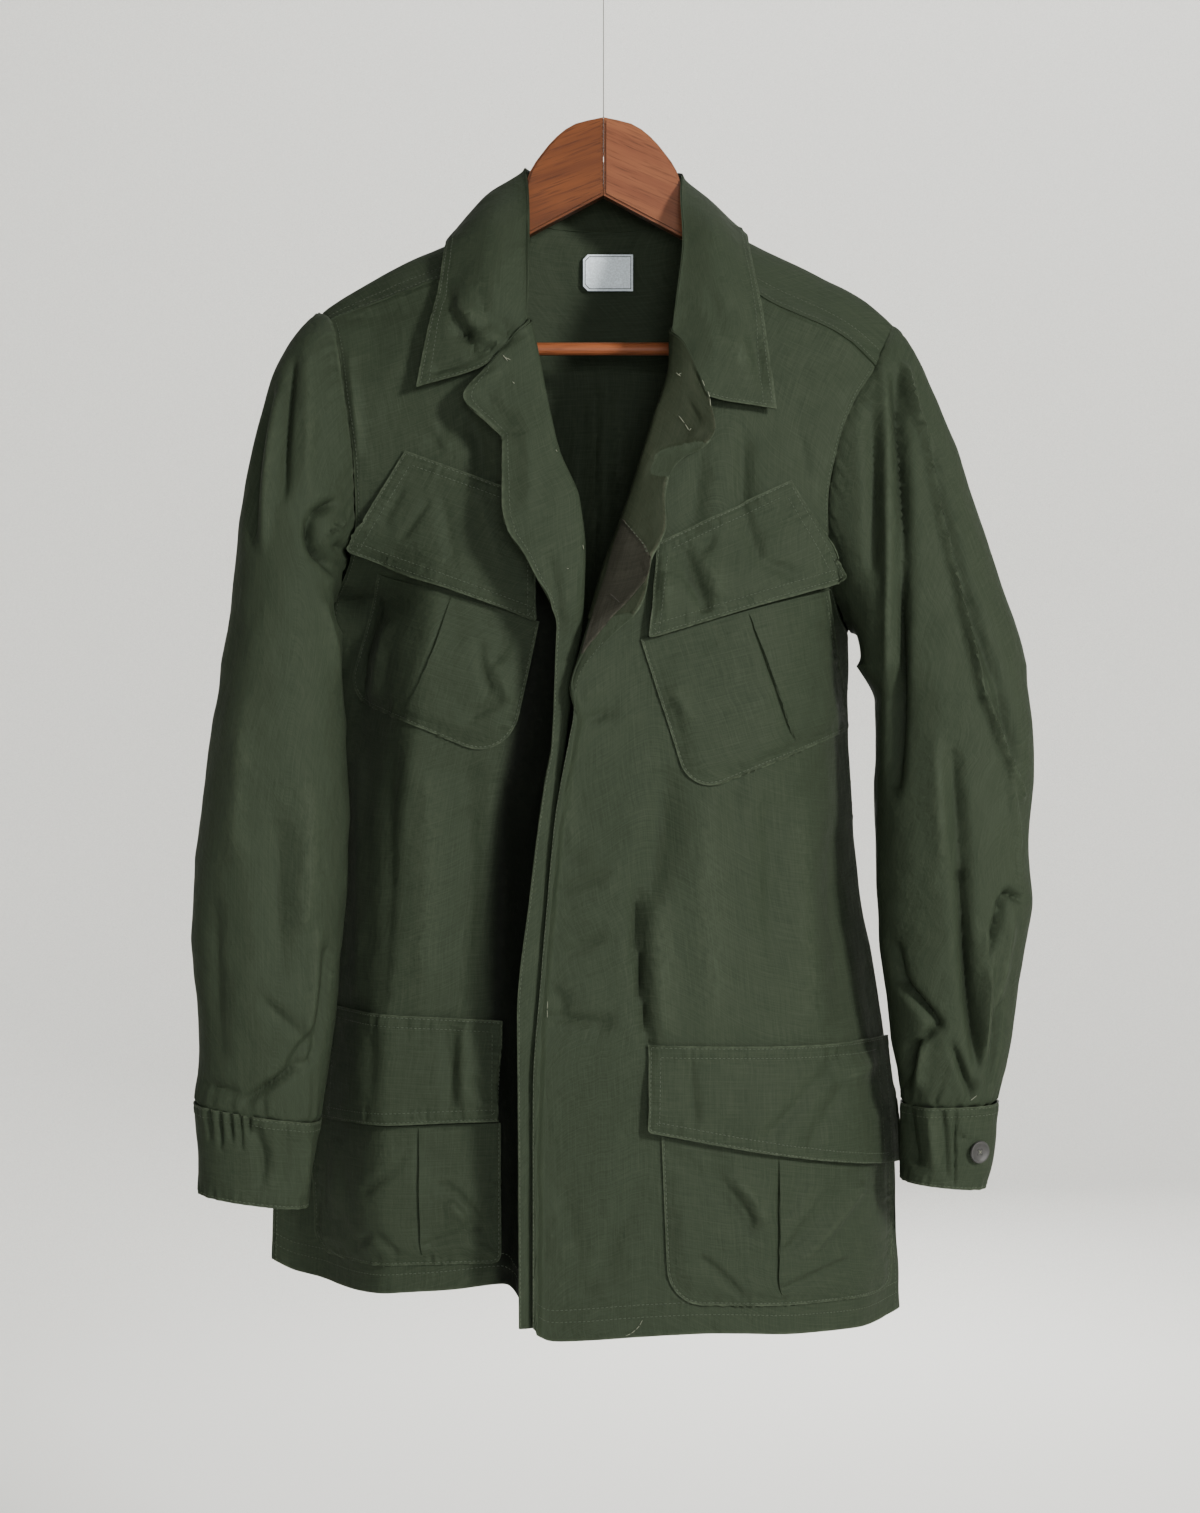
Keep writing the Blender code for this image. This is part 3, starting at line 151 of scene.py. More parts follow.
RIGHT = dict(
    sign=-1,
    # around, x, y, z: from the shoulder's ridge forward, under the arm and up the back
    armhole=[(0, -0.2027, 0, -0.139), (0.06, -0.1938, -0.022, -0.148), (0.14, -0.1868, -0.035, -0.173),
             (0.21, -0.182, -0.043, -0.205), (0.29, -0.1755, -0.047, -0.251), (0.36, -0.1745, -0.043, -0.29),
             (0.42, -0.18, -0.03, -0.32), (0.5, -0.195, 0.01, -0.345), (0.58, -0.196, 0.04, -0.322),
             (0.68, -0.193, 0.058, -0.27), (0.8, -0.196, 0.055, -0.205), (0.9, -0.201, 0.036, -0.16)],
    seam_around=0.06,  # where the forward shoulder seam meets the armhole
    # down, x, y
    side=[(0.345, -0.195, 0.01), (0.42, -0.208, 0.02), (0.5, -0.222, 0.028), (0.6, -0.233, 0.032),
          (0.72, -0.24, 0.032), (0.87, -0.2445, 0.03)],
    flank_share=0.22,
    # down, y
    chest=[(0.1, -0.028), (0.124, -0.032), (0.15, -0.04), (0.18, -0.046), (0.22, -0.05), (0.28, -0.053),
           (0.36, -0.054), (0.5, -0.052), (0.87, -0.05)],
    valley=[(0.106, -0.0675, -0.036), (0.13, -0.068, -0.046), (0.16, -0.072, -0.052),
            (0.21, -0.074, -0.056), (0.27, -0.066, -0.058), (0.346, -0.048, -0.057), (0.42, -0.054, -0.055),
            (0.49, -0.067, -0.053), (0.56, -0.0723, -0.052), (0.64, -0.0744, -0.052),
            (0.87, -0.069, -0.052)],
    roll=[(0.1535, -0.0525, -0.058), (0.2, -0.043, -0.068), (0.2487, -0.032, -0.078),
          (0.283, -0.0185, -0.083), (0.3139, -0.0148, -0.086), (0.338, -0.0152, -0.087),
          (0.3654, -0.0165, -0.085), (0.3997, -0.0225, -0.082), (0.434, -0.0265, -0.082),
          (0.502, -0.0347, -0.084), (0.61, -0.044, -0.086), (0.692, -0.0495, -0.086), (0.87, -0.05, -0.086)],
    edge=[(0.1915, -0.0835, -0.07), (0.21, -0.0973, -0.072), (0.231, -0.0786, -0.078),
          (0.24, -0.0704, -0.081), (0.2865, -0.07, -0.092), (0.3036, -0.0663, -0.095),
          (0.3221, -0.054, -0.097), (0.338, -0.0457, -0.097), (0.353, -0.0368, -0.097),
          (0.3688, -0.032, -0.092), (0.3997, -0.0335, -0.088), (0.4511, -0.036, -0.087),
          (0.475, -0.0405, -0.089), (0.556, -0.051, -0.091), (0.6377, -0.0594, -0.091),
          (0.692, -0.059, -0.091), (0.87, -0.058, -0.091)],
    # share of the width, down
    top=[(0, 0.148), (0.16, 0.139), (0.38, 0.124), (0.6, 0.106), (0.76, 0.148), (0.82, 0.1535),
         (0.88, 0.164), (1, 0.1915)],
    hem=[(0, 0.8267), (0.1, 0.834), (0.25, 0.8367), (0.45, 0.8333), (0.6, 0.828), (0.76, 0.843),
         (0.82, 0.85), (1, 0.85)],
    # x, y, z of the yoke's ridge, from the armhole to the neck
    ridge=[(0, -0.2027, 0, -0.139), (0.15, -0.1825, 0, -0.1268), (0.42, -0.1465, 0, -0.106),
           (0.68, -0.1105, 0, -0.0905), (1, -0.068, 0.002, -0.068)],
    # down at the outer and inner edge, x outer, x inner, y front, y back
    sleeve=[(0.372, 0.372, -0.2592, -0.1835, -0.088, -0.008),
            (0.404, 0.404, -0.2658, -0.183, -0.088, -0.008),
            (0.447, 0.447, -0.2742, -0.1806, -0.09, -0.003),
            (0.501, 0.501, -0.282, -0.1785, -0.092, -0.004),
            (0.536, 0.537, -0.2862, -0.1792, -0.092, -0.005),
            (0.582, 0.584, -0.2876, -0.1827, -0.092, -0.006),
            (0.636, 0.64, -0.2841, -0.1877, -0.09, -0.008),
            (0.67, 0.68, -0.2827, -0.1933, -0.087, -0.012),
            (0.699, 0.712, -0.2855, -0.1982, -0.083, -0.018)],
    cuff=[(0.7, 0.713, -0.2865, -0.1975, -0.084, -0.017), (0.735, 0.744, -0.284, -0.203, -0.081, -0.022),
          (0.763, 0.7735, -0.2827, -0.2067, -0.078, -0.024)],
    cuff_button=0.62,
    cap=(1.8, 1.5),
)

LEFT = dict(
    sign=1,
    armhole=[(0, 0.2085, 0, -0.148), (0.06, 0.201, -0.02, -0.166), (0.1, 0.1932, -0.028, -0.182),
             (0.17, 0.1784, -0.04, -0.2052), (0.24, 0.166, -0.046, -0.236), (0.32, 0.158, -0.047, -0.285),
             (0.4, 0.1605, -0.036, -0.331), (0.5, 0.178, 0.01, -0.369), (0.58, 0.183, 0.04, -0.345),
             (0.68, 0.183, 0.058, -0.29), (0.8, 0.19, 0.055, -0.218), (0.9, 0.202, 0.036, -0.17)],
    seam_around=0.1,
    side=[(0.369, 0.178, 0.01), (0.453, 0.1795, 0.016), (0.504, 0.182, 0.018), (0.561, 0.188, 0.02),
          (0.6415, 0.203, 0.022), (0.7034, 0.211, 0.022), (0.757, 0.2135, 0.022), (0.88, 0.216, 0.02)],
    flank_share=0.6,
    chest=[(0.115, -0.03), (0.145, -0.036), (0.18, -0.044), (0.22, -0.052), (0.28, -0.06), (0.36, -0.068),
           (0.45, -0.074), (0.6, -0.076), (0.88, -0.076)],
    valley=[(0.11, 0.069, -0.034), (0.135, 0.069, -0.044), (0.16, 0.072, -0.05), (0.21, 0.085, -0.056),
            (0.26, 0.08, -0.062), (0.32, 0.065, -0.07), (0.38, 0.045, -0.077), (0.44, 0.035, -0.082),
            (0.55, 0.03, -0.085), (0.7, 0.028, -0.086), (0.88, 0.028, -0.086)],
    roll=[(0.1605, 0.0479, -0.056), (0.1814, 0.0479, -0.06), (0.2248, 0.0358, -0.068),
          (0.2602, 0.0253, -0.073), (0.2919, 0.0148, -0.078), (0.3305, 0.0009, -0.083),
          (0.3549, -0.0059, -0.09), (0.3894, -0.0162, -0.096), (0.4134, -0.0222, -0.097),
          (0.434, -0.0175, -0.097), (0.4477, -0.02, -0.096), (0.5018, -0.0295, -0.094),
          (0.5614, -0.035, -0.094), (0.61, -0.039, -0.094), (0.6916, -0.0444, -0.094),
          (0.88, -0.0451, -0.094)],
    edge=[(0.2103, 0.0735, -0.068), (0.231, 0.0775, -0.071), (0.2448, 0.07, -0.073),
          (0.2531, 0.0549, -0.076), (0.2682, 0.0437, -0.08), (0.282, 0.0417, -0.083),
          (0.2993, 0.0424, -0.086), (0.3131, 0.0389, -0.089), (0.324, 0.0332, -0.091),
          (0.3494, 0.0284, -0.097), (0.3618, 0.0222, -0.1), (0.3735, 0.0092, -0.102),
          (0.3893, -0.0059, -0.103), (0.4017, -0.0155, -0.102), (0.414, -0.0189, -0.101),
          (0.434, -0.021, -0.099), (0.4477, -0.0237, -0.097), (0.5018, -0.0333, -0.095),
          (0.5614, -0.0388, -0.095), (0.61, -0.0429, -0.095), (0.6916, -0.0484, -0.095),
          (0.88, -0.0484, -0.095)],
    top=[(0, 0.182), (0.16, 0.162), (0.38, 0.1415), (0.6, 0.11), (0.76, 0.152), (0.82, 0.1605),
         (0.88, 0.17), (1, 0.2103)],
    hem=[(0, 0.86), (0.1, 0.862), (0.3, 0.859), (0.5, 0.8555), (0.6, 0.857), (0.72, 0.8602),
         (0.82, 0.8535), (1, 0.849)],
    ridge=[(0, 0.2085, 0, -0.148), (0.15, 0.187, 0, -0.131), (0.36, 0.16, 0, -0.116),
           (0.75, 0.102, 0, -0.088), (1, 0.069, 0.002, -0.069)],
    sleeve=[(0.395, 0.395, 0.2985, 0.179, -0.085, 0.02), (0.42, 0.42, 0.3005, 0.1925, -0.086, 0.018),
            (0.447, 0.447, 0.3026, 0.193, -0.086, 0.017), (0.489, 0.489, 0.3019, 0.1915, -0.086, 0.016),
            (0.52, 0.52, 0.2984, 0.1922, -0.085, 0.015), (0.559, 0.559, 0.3026, 0.1929, -0.083, 0.014),
            (0.582, 0.582, 0.2991, 0.1945, -0.081, 0.013), (0.621, 0.621, 0.2927, 0.199, -0.077, 0.012),
            (0.658, 0.658, 0.2878, 0.204, -0.073, 0.01), (0.68, 0.681, 0.2835, 0.208, -0.07, 0.008),
            (0.7, 0.702, 0.277, 0.2115, -0.066, 0.004)],
    cuff=[(0.7015, 0.7035, 0.2785, 0.2105, -0.067, 0.005), (0.735, 0.735, 0.276, 0.2105, -0.066, 0.002),
          (0.762, 0.757, 0.269, 0.2105, -0.064, -0.002)],
    cuff_button=0.17,
    cap=(1.0, 1.35),
)
SIDES = {"right": RIGHT, "left": LEFT}

# The back neck seam, from the right shoulder's ridge round to the left one: x, y, z.
NECK_BACK = [(-0.068, 0.002, -0.068), (-0.06, 0.028, -0.068), (-0.034, 0.041, -0.0705), (0, 0.0455, -0.072),
             (0.034, 0.041, -0.0705), (0.06, 0.028, -0.068), (0.069, 0.002, -0.069)]
BACK_DEPTH = [(0.169, 0.06), (0.3, 0.07), (0.5, 0.074), (0.7, 0.074), (0.87, 0.072)]  # down, y
BACK_TOP = [(0, 0.192), (0.2, 0.18), (0.5, 0.169), (0.8, 0.182), (1, 0.2)]  # share, down
BACK_HEM = [(0, 0.8267), (0.5, 0.838), (1, 0.86)]

# around the neck, then x, y, z of the fold, of the leaf's middle and of its outer edge
COLLAR = [
    (0, -0.053, -0.06, -0.1535, -0.084, -0.068, -0.1885, -0.1304, -0.062, -0.2021),
    (0.06, -0.052, -0.052, -0.12, -0.085, -0.064, -0.145, -0.1233, -0.056, -0.1627),
    (0.12, -0.052, -0.04, -0.09, -0.083, -0.05, -0.108, -0.1169, -0.046, -0.135),
    (0.19, -0.053, -0.022, -0.0585, -0.082, -0.028, -0.0735, -0.1124, -0.027, -0.0985),
    (0.27, -0.056, 0.004, -0.034, -0.084, 0.006, -0.053, -0.111, 0.007, -0.0848),
    (0.36, -0.05, 0.032, -0.032, -0.07, 0.042, -0.056, -0.087, 0.048, -0.093),
    (0.43, -0.026, 0.048, -0.0335, -0.034, 0.058, -0.062, -0.042, 0.06, -0.106),
    (0.5, 0, 0.053, -0.0345, 0, 0.062, -0.064, 0, 0.064, -0.109),
    (0.57, 0.026, 0.048, -0.0335, 0.034, 0.058, -0.062, 0.042, 0.06, -0.106),
    (0.64, 0.05, 0.032, -0.033, 0.07, 0.041, -0.057, 0.084, 0.048, -0.093),
    (0.73, 0.056, 0.004, -0.0385, 0.08, 0.006, -0.06, 0.1025, 0.007, -0.082),
    (0.81, 0.0545, -0.022, -0.062, 0.08, -0.029, -0.078, 0.1055, -0.031, -0.109),
    (0.88, 0.0555, -0.04, -0.095, 0.083, -0.05, -0.118, 0.1098, -0.045, -0.135),
    (0.94, 0.051, -0.052, -0.135, 0.08, -0.062, -0.158, 0.1142, -0.055, -0.168),
    (1, 0.0479, -0.058, -0.1605, 0.0724, -0.068, -0.209, 0.1205, -0.062, -0.2174),
]

# Flaps and pockets, as seen from the front: x and down of the four corners, clockwise from the top left,
# then the radius of the two lower corners, the pleat's share of the width at its top and bottom, and how far
# the two lower corners lift.
PATCHES = {
    "right_chest_pocket": dict(
        side="right", corners=((-0.16, 0.33), (-0.0444, 0.3651), (-0.0667, 0.465), (-0.1854, 0.4147)),
        round=(0.018, 0.032), pleat=(0.47, 0.42)),
    "right_chest_flap": dict(
        side="right", corners=((-0.1386, 0.245), (-0.0444, 0.28), (-0.0444, 0.3658), (-0.1812, 0.3149)),
        round=(0.003, 0.003), lift=(0.004, 0)),
    "left_chest_pocket": dict(
        side="left", corners=((0.0252, 0.3784), (0.158, 0.342), (0.1765, 0.4393), (0.0598, 0.4856)),
        round=(0.024, 0.004), pleat=(0.56, 0.62)),
    "left_chest_flap": dict(
        side="left", corners=((0.0369, 0.3113), (0.1304, 0.2663), (0.1705, 0.3348), (0.0293, 0.3784)),
        round=(0.003, 0.003), lift=(0, 0.013)),
    "right_lower_pocket": dict(
        side="right", corners=((-0.2125, 0.7205), (-0.0715, 0.7149), (-0.0715, 0.8129), (-0.2083, 0.8171)),
        round=(0.018, 0.006), pleat=(0.59, 0.59)),
    "right_lower_flap": dict(
        side="right", corners=((-0.202, 0.6372), (-0.0695, 0.6435), (-0.0695, 0.7128), (-0.2041, 0.7184)),
        round=(0.003, 0.003)),
    "left_lower_pocket": dict(
        side="left", corners=((0.0395, 0.7194), (0.2081, 0.7507), (0.2067, 0.8413), (0.0443, 0.8343)),
        round=(0.024, 0.012), pleat=(0.48, 0.46)),
    "left_lower_flap": dict(
        side="left", corners=((0.0312, 0.6568), (0.205, 0.6613), (0.209, 0.7515), (0.0298, 0.716)),
        round=(0.003, 0.003)),
}

# Each panel's folds, as seen from the front: x and down at both ends, how far the middle bows toward +X,
# half the fold's width, and how far it stands out, or in if negative, all in tenths of a millimetre.
FOLDS = {
    "left_front": [
        (410, 4680, 290, 5590, 40, 111, -22), (230, 5520, 310, 6600, -30, 42, -30),
        (360, 5590, 410, 6490, 0, 84, 15), (1140, 4890, 1170, 6010, 20, 97, -18),
        (910, 4680, 930, 5240, 0, 84, -10), (1630, 5100, 1730, 6490, -30, 84, -16),
        (1400, 4890, 1470, 6490, -20, 104, 12), (680, 4890, 730, 6490, 10, 125, 12),
        (-160, 4350, 70, 4280, 0, 28, -12), (-290, 4210, 20, 4110, 0, 42, 8),
        (-280, 5300, -110, 5240, 0, 28, -8), (-330, 5530, 40, 5390, 0, 28, -11),
        (-260, 5950, -10, 5830, 0, 28, -11), (-390, 6370, 60, 6430, 0, 28, -15),
        (-60, 6540, 30, 6340, 0, 28, -10), (-340, 6180, -300, 6370, 30, 35, -10),
        (-130, 8300, 250, 7540, 0, 63, -9), (-300, 7540, -150, 8300, 20, 70, -8),
        (-290, 4680, -220, 5170, 0, 49, 8), (980, 2320, 960, 2940, 0, 70, -18),
        (670, 2490, 620, 3010, 10, 70, -13), (1370, 2320, 1460, 2750, 0, 63, -9),
        (1720, 2390, 1720, 2890, 20, 35, -30), (1710, 2860, 1620, 3120, 0, 35, -26),
        (1800, 2110, 1860, 2330, 0, 28, -10)],
    "right_front": [
        (-930, 4680, -1000, 6320, 30, 111, -18), (-1210, 4680, -1250, 6280, -10, 125, 13),
        (-1500, 4510, -1540, 6320, 10, 90, -14), (-710, 4750, -740, 6340, 10, 77, -17),
        (-1750, 4610, -1760, 6280, 10, 56, 10), (-1030, 2090, -1190, 2430, 0, 63, -10),
        (-930, 2210, -850, 2600, 20, 70, -20), (-1210, 2250, -1080, 2440, 0, 42, 8),
        (-1610, 3500, -1720, 4200, -30, 56, -20), (-1800, 1770, -1720, 2460, 10, 42, 12),
        (-1990, 7710, -2070, 7990, 0, 35, -12), (-1060, 8300, -580, 8110, 0, 42, 8)],
    "right_sleeve": [
        (-2180, 1790, -2200, 2800, -10, 34, -24), (-2340, 2010, -2430, 3100, -30, 41, -28),
        (-2280, 2080, -2340, 3140, -10, 41, 16), (-2080, 1770, -2060, 2690, 10, 55, 14),
        (-1880, 3010, -1870, 3020, 0, 89, 26), (-2010, 2910, -1860, 2820, 0, 27, -30),
        (-2010, 2930, -1960, 3210, -30, 38, -34), (-1970, 3160, -1720, 3460, 10, 38, -36),
        (-1860, 3130, -1700, 3190, 0, 27, -35), (-1880, 3340, -1730, 3520, 0, 41, 20),
        (-1930, 3520, -1820, 4130, 10, 34, 16), (-1880, 3590, -1770, 4130, 10, 27, -14),
        (-2220, 5030, -2190, 6090, -20, 103, -20), (-2040, 4750, -2060, 5780, 30, 82, 16),
        (-2460, 4200, -2510, 5300, -20, 96, 14), (-2340, 6250, -2070, 6510, 0, 41, -14),
        (-2470, 6960, -2060, 6690, 0, 27, -24), (-2170, 6730, -1990, 6490, 0, 34, -18),
        (-2100, 6770, -1970, 6640, 0, 21, -10), (-1900, 5920, -2000, 6690, 20, 34, -20),
        (-1960, 5780, -2040, 6530, 10, 41, 12), (-2770, 6840, -2490, 6920, 0, 34, -12),
        (-2670, 5570, -2620, 6670, -20, 69, -12)],
    "left_sleeve": [
        (1980, 1820, 1970, 4610, 0, 40, 18), (2080, 1880, 2070, 3240, 10, 44, -36),
        (2070, 3240, 2010, 4820, -10, 46, -42), (2140, 1820, 2240, 2280, -10, 27, 26),
        (1890, 2160, 1860, 3300, 0, 45, -24), (2240, 2250, 2380, 3140, 0, 27, 30),
        (2370, 3070, 2610, 4200, 0, 27, 30), (2600, 4150, 2790, 4640, 0, 27, 26),
        (2770, 4590, 2900, 4880, 0, 27, 24), (2290, 2350, 2530, 3520, -10, 55, -26),
        (2500, 3450, 2750, 4200, 0, 55, -26), (2730, 4170, 2880, 4680, 0, 41, -24),
        (2790, 4670, 2870, 5230, 0, 27, 16), (2380, 4550, 2460, 5470, 0, 62, -28),
        (2450, 5370, 2620, 6810, -30, 48, -38), (2290, 4480, 2330, 5300, 0, 75, 15),
        (2650, 5810, 2600, 6860, 20, 34, 26), (2720, 5620, 2800, 5520, 0, 27, -18),
        (2780, 5520, 2920, 5590, 0, 27, -24), (2750, 5600, 2650, 6040, -10, 27, -26),
        (2820, 5680, 2720, 6330, 10, 41, 15), (2010, 5880, 2070, 6180, 0, 41, -22),
        (2050, 6140, 2330, 6460, 0, 34, -32), (2310, 6440, 2140, 6620, 0, 27, -24),
        (2150, 6590, 2050, 6950, 10, 41, -40), (2200, 6530, 2200, 6910, 0, 41, 16),
        (2410, 6590, 2550, 6940, 0, 27, -22), (2750, 6290, 2680, 6890, 0, 27, -18)],
    "right_cuff": [
        (-2730, 6970, -2720, 7220, 0, 17, -12), (-2650, 6970, -2640, 7260, 0, 17, -13),
        (-2580, 6980, -2560, 7230, 0, 17, -12), (-2510, 6990, -2490, 7280, 0, 17, -12),
        (-2440, 6990, -2440, 7190, 0, 21, -14), (-2430, 7140, -2370, 7530, 60, 48, -18),
        (-2180, 7030, -2190, 7600, 0, 34, -7), (-2050, 7030, -2060, 7630, 0, 34, 8)],
    "left_cuff": [
        (2120, 7000, 2180, 7440, -20, 41, -24), (2250, 7020, 2290, 7460, 10, 41, 12),
        (2350, 7040, 2380, 7500, 0, 27, -9), (2430, 7210, 2550, 7260, 0, 21, -9),
        (2437, 7040, 2437, 7570, 0, 10, -7)],
    "right_chest_flap": [
        (-1390, 3080, -1210, 2800, 0, 28, -8), (-1540, 2960, -1400, 2720, 0, 28, -7),
        (-1140, 2790, -1060, 3220, 20, 56, -10), (-900, 2690, -710, 3260, 10, 63, 9)],
    "right_chest_pocket": [
        (-680, 3650, -750, 3930, 30, 28, -14), (-860, 3780, -790, 4140, -30, 28, -14),
        (-760, 3950, -640, 4210, 0, 42, 10), (-940, 4310, -710, 4200, 0, 35, -11),
        (-1610, 3500, -1750, 4130, -30, 49, -22), (-1500, 3640, -1610, 4200, 0, 56, 14)],
    "right_lower_flap": [
        (-1070, 6470, -1070, 7050, 10, 49, -15), (-990, 6470, -960, 7040, 0, 56, 10),
        (-870, 6810, -780, 6980, -50, 35, -9), (-1610, 6520, -1580, 7010, 0, 49, -8)],
    "right_lower_pocket": [
        (-1660, 7650, -1400, 7400, 0, 28, -12), (-1140, 7580, -860, 7940, 60, 42, -22),
        (-1240, 8000, -850, 7890, 0, 28, -15), (-1760, 8070, -1610, 7940, 0, 35, -12),
        (-1570, 7940, -1440, 8070, 0, 28, -12), (-990, 7870, -720, 8000, 0, 56, -12),
        (-1070, 7680, -930, 7830, 0, 63, 14), (-1900, 7330, -1870, 7890, 0, 63, 10)],
    "left_chest_flap": [
        (680, 3170, 750, 3080, 0, 21, -16), (520, 3170, 600, 3390, 10, 49, -22),
        (590, 3360, 680, 3600, 20, 42, -26), (670, 3220, 780, 3500, 20, 63, 15),
        (990, 2940, 1090, 3240, -20, 49, -12), (1090, 3240, 1310, 3330, 0, 49, -12),
        (390, 3220, 410, 3640, 20, 63, 12)],
    "left_chest_pocket": [
        (370, 3890, 600, 3790, 0, 35, -16), (670, 3860, 830, 3680, 0, 28, -12),
        (480, 4130, 600, 4340, 0, 56, 12), (1070, 4640, 1190, 4600, 0, 28, -8)],
    "left_lower_flap": [
        (1470, 6860, 1600, 6710, 0, 28, -22), (1580, 6720, 1670, 6650, 0, 28, -24),
        (1660, 6650, 1880, 6640, 0, 21, -16), (1080, 7240, 1460, 6840, 0, 48, -13),
        (1360, 7300, 1700, 6820, 10, 62, -12), (1630, 6880, 1900, 6750, 0, 62, 14),
        (590, 6680, 620, 7130, 0, 41, -9)],
    "left_lower_pocket": [
        (750, 7310, 800, 7570, -10, 34, -18), (790, 7560, 1000, 7830, 20, 48, -26),
        (900, 7500, 1090, 7810, 30, 62, 18), (670, 8030, 950, 8300, 0, 28, -15),
        (440, 7300, 680, 7480, 0, 28, -13), (1250, 8000, 1780, 7430, 0, 34, -20),
        (1350, 8070, 1850, 7590, 0, 41, 15), (1220, 8260, 1710, 8110, 0, 28, -15),
        (1270, 7740, 1390, 7420, 0, 41, -12), (1700, 7500, 1930, 7640, 0, 41, -12)],
    "collar": [
        (-1010, 1660, -780, 1590, 0, 42, -22), (-870, 1730, -710, 1800, 0, 28, -18),
        (-1030, 1410, -930, 1570, 0, 56, 16), (-1190, 1910, -930, 1860, 0, 28, -12),
        (-1040, 1580, -880, 1840, 30, 36, -20), (-940, 1500, -720, 1720, -30, 40, 18),
        (-890, 1350, -800, 1600, 20, 34, -14), (-1120, 1300, -980, 1700, 10, 48, -12),
        (-750, 1500, -640, 1680, 0, 30, -14), (780, 1620, 980, 1910, 30, 84, 16),
        (1030, 1620, 1100, 2000, 10, 42, -14), (720, 1300, 860, 1780, 20, 52, -11)],
    "right_facing": [
        (-720, 1770, -580, 1650, 0, 28, -12), (-820, 2090, -640, 2300, 0, 42, -10),
        (-930, 2050, -720, 1910, 0, 35, 10), (-580, 2250, -530, 2940, 30, 63, 9),
        (-390, 3220, -300, 3780, 20, 49, -9)],
    "left_facing": [
        (620, 1910, 700, 2080, 0, 21, -10), (590, 2140, 670, 2280, 0, 21, -10),
        (670, 2320, 600, 2470, 0, 35, 8), (480, 2600, 420, 3080, -10, 42, -8)],
    "back": [
        (-70, 1830, -80, 4610, 10, 49, 26), (-180, 1970, -210, 4200, -10, 63, -14),
        (110, 1900, 140, 3780, 10, 77, 16), (-390, 1870, -410, 3220, -10, 63, 14)],
    # The photograph doesn't show these: on the outside of the back and behind the sleeves.
    "back_outside": [
        (-1650, 2350, -1200, 4200, 120, 120, 30), (-1300, 2300, -850, 5200, 100, 95, -26),
        (1500, 2400, 1150, 4000, -100, 120, 28), (1200, 2500, 900, 5600, -80, 85, -24),
        (-700, 3000, -600, 7000, 40, 110, 20), (500, 2800, 600, 6400, 30, 130, -18),
        (-1850, 4200, -1600, 7600, 60, 110, 26), (1600, 4300, 1700, 8000, -40, 120, 26),
        (-1100, 5600, -1200, 8100, 20, 90, -22), (1100, 6000, 1250, 8300, 30, 100, -18),
        (-200, 4800, -100, 7900, 30, 90, 16), (-1900, 3300, -1200, 3450, 0, 60, -18),
        (1650, 3500, 1100, 3720, 0, 60, -16)],
    "right_sleeve_behind": [
        (-2050, 1900, -2320, 3300, -40, 60, -30), (-1960, 2800, -2260, 3500, 0, 50, -28),
        (-1920, 3300, -2300, 3850, 30, 50, 26), (-2500, 3300, -2640, 5200, -30, 85, 24),
        (-2250, 4000, -2350, 5600, 40, 90, -26), (-1950, 4700, -2620, 5200, 0, 50, -22),
        (-2000, 5200, -2660, 5560, 0, 45, 20), (-2620, 6000, -2120, 6400, 0, 50, -24),
        (-2400, 6300, -2480, 6950, 0, 40, -20)],
    "left_sleeve_behind": [
        (2060, 2000, 2360, 3400, 40, 60, -30), (1920, 2900, 2260, 3720, 0, 50, -28),
        (1900, 3500, 2320, 4050, 30, 50, 26), (2620, 3400, 2840, 5400, 30, 90, 24),
        (2300, 4100, 2400, 5900, -40, 90, -28), (2050, 4800, 2820, 5400, 0, 50, -24),
        (2120, 5600, 2760, 5900, 0, 45, 20), (2680, 6100, 2220, 6500, 0, 50, -26),
        (2450, 6400, 2520, 6960, 0, 40, -20)],
}


def follow(keys, values, at):
    """Smooth curve without overshoot through values (keys, columns) or (keys, points, columns)."""
    keys = np.asarray(keys, float)
    values = np.asarray(values, float)
    at = np.clip(np.atleast_1d(at).astype(float), keys[0], keys[-1])
    if values.ndim == 2:
        values = np.repeat(values[:, None, :], len(at), axis=1)
    step = np.diff(keys)[:, None, None]
    slope = np.diff(values, axis=0) / step
    before, after = slope[:-1], slope[1:]
    wide, narrow = 2 * step[1:] + step[:-1], step[1:] + 2 * step[:-1]
    tangent = np.empty_like(values)
    tangent[0], tangent[-1] = slope[0], slope[-1]
    rising = before * after > 0
    safe_before, safe_after = np.where(rising, before, 1), np.where(rising, after, 1)
    tangent[1:-1] = np.where(rising, (wide + narrow) / (wide / safe_before + narrow / safe_after), 0)
    low = np.clip(np.searchsorted(keys, at, side="right") - 1, 0, len(keys) - 2)
    each = np.arange(len(at))
    length = (keys[low + 1] - keys[low])[:, None]
    t = (at - keys[low])[:, None] / length
    start, end = values[low, each], values[low + 1, each]
    leave, arrive = tangent[low, each] * length, tangent[low + 1, each] * length
    return ((1 + 2 * t) * (1 - t) ** 2 * start + t * (1 - t) ** 2 * leave
            + t * t * (3 - 2 * t) * end + t * t * (t - 1) * arrive)


def along(table, at):
    """The other columns of a table at the values `at` of its first one."""
    rows = np.asarray(table, float)
    return follow(rows[:, 0], rows[:, 1:], at)


def run_of(points):
    """Distances along a line of points, from its first one."""
    return np.concatenate([[0], np.cumsum(np.linalg.norm(np.diff(points, axis=0), axis=1))])


def read_at(at, run, points):
    """A line's points read at other distances along it; run holds the points' own distances."""
    return np.stack([np.interp(at, run, column) for column in np.asarray(points).T], axis=-1)


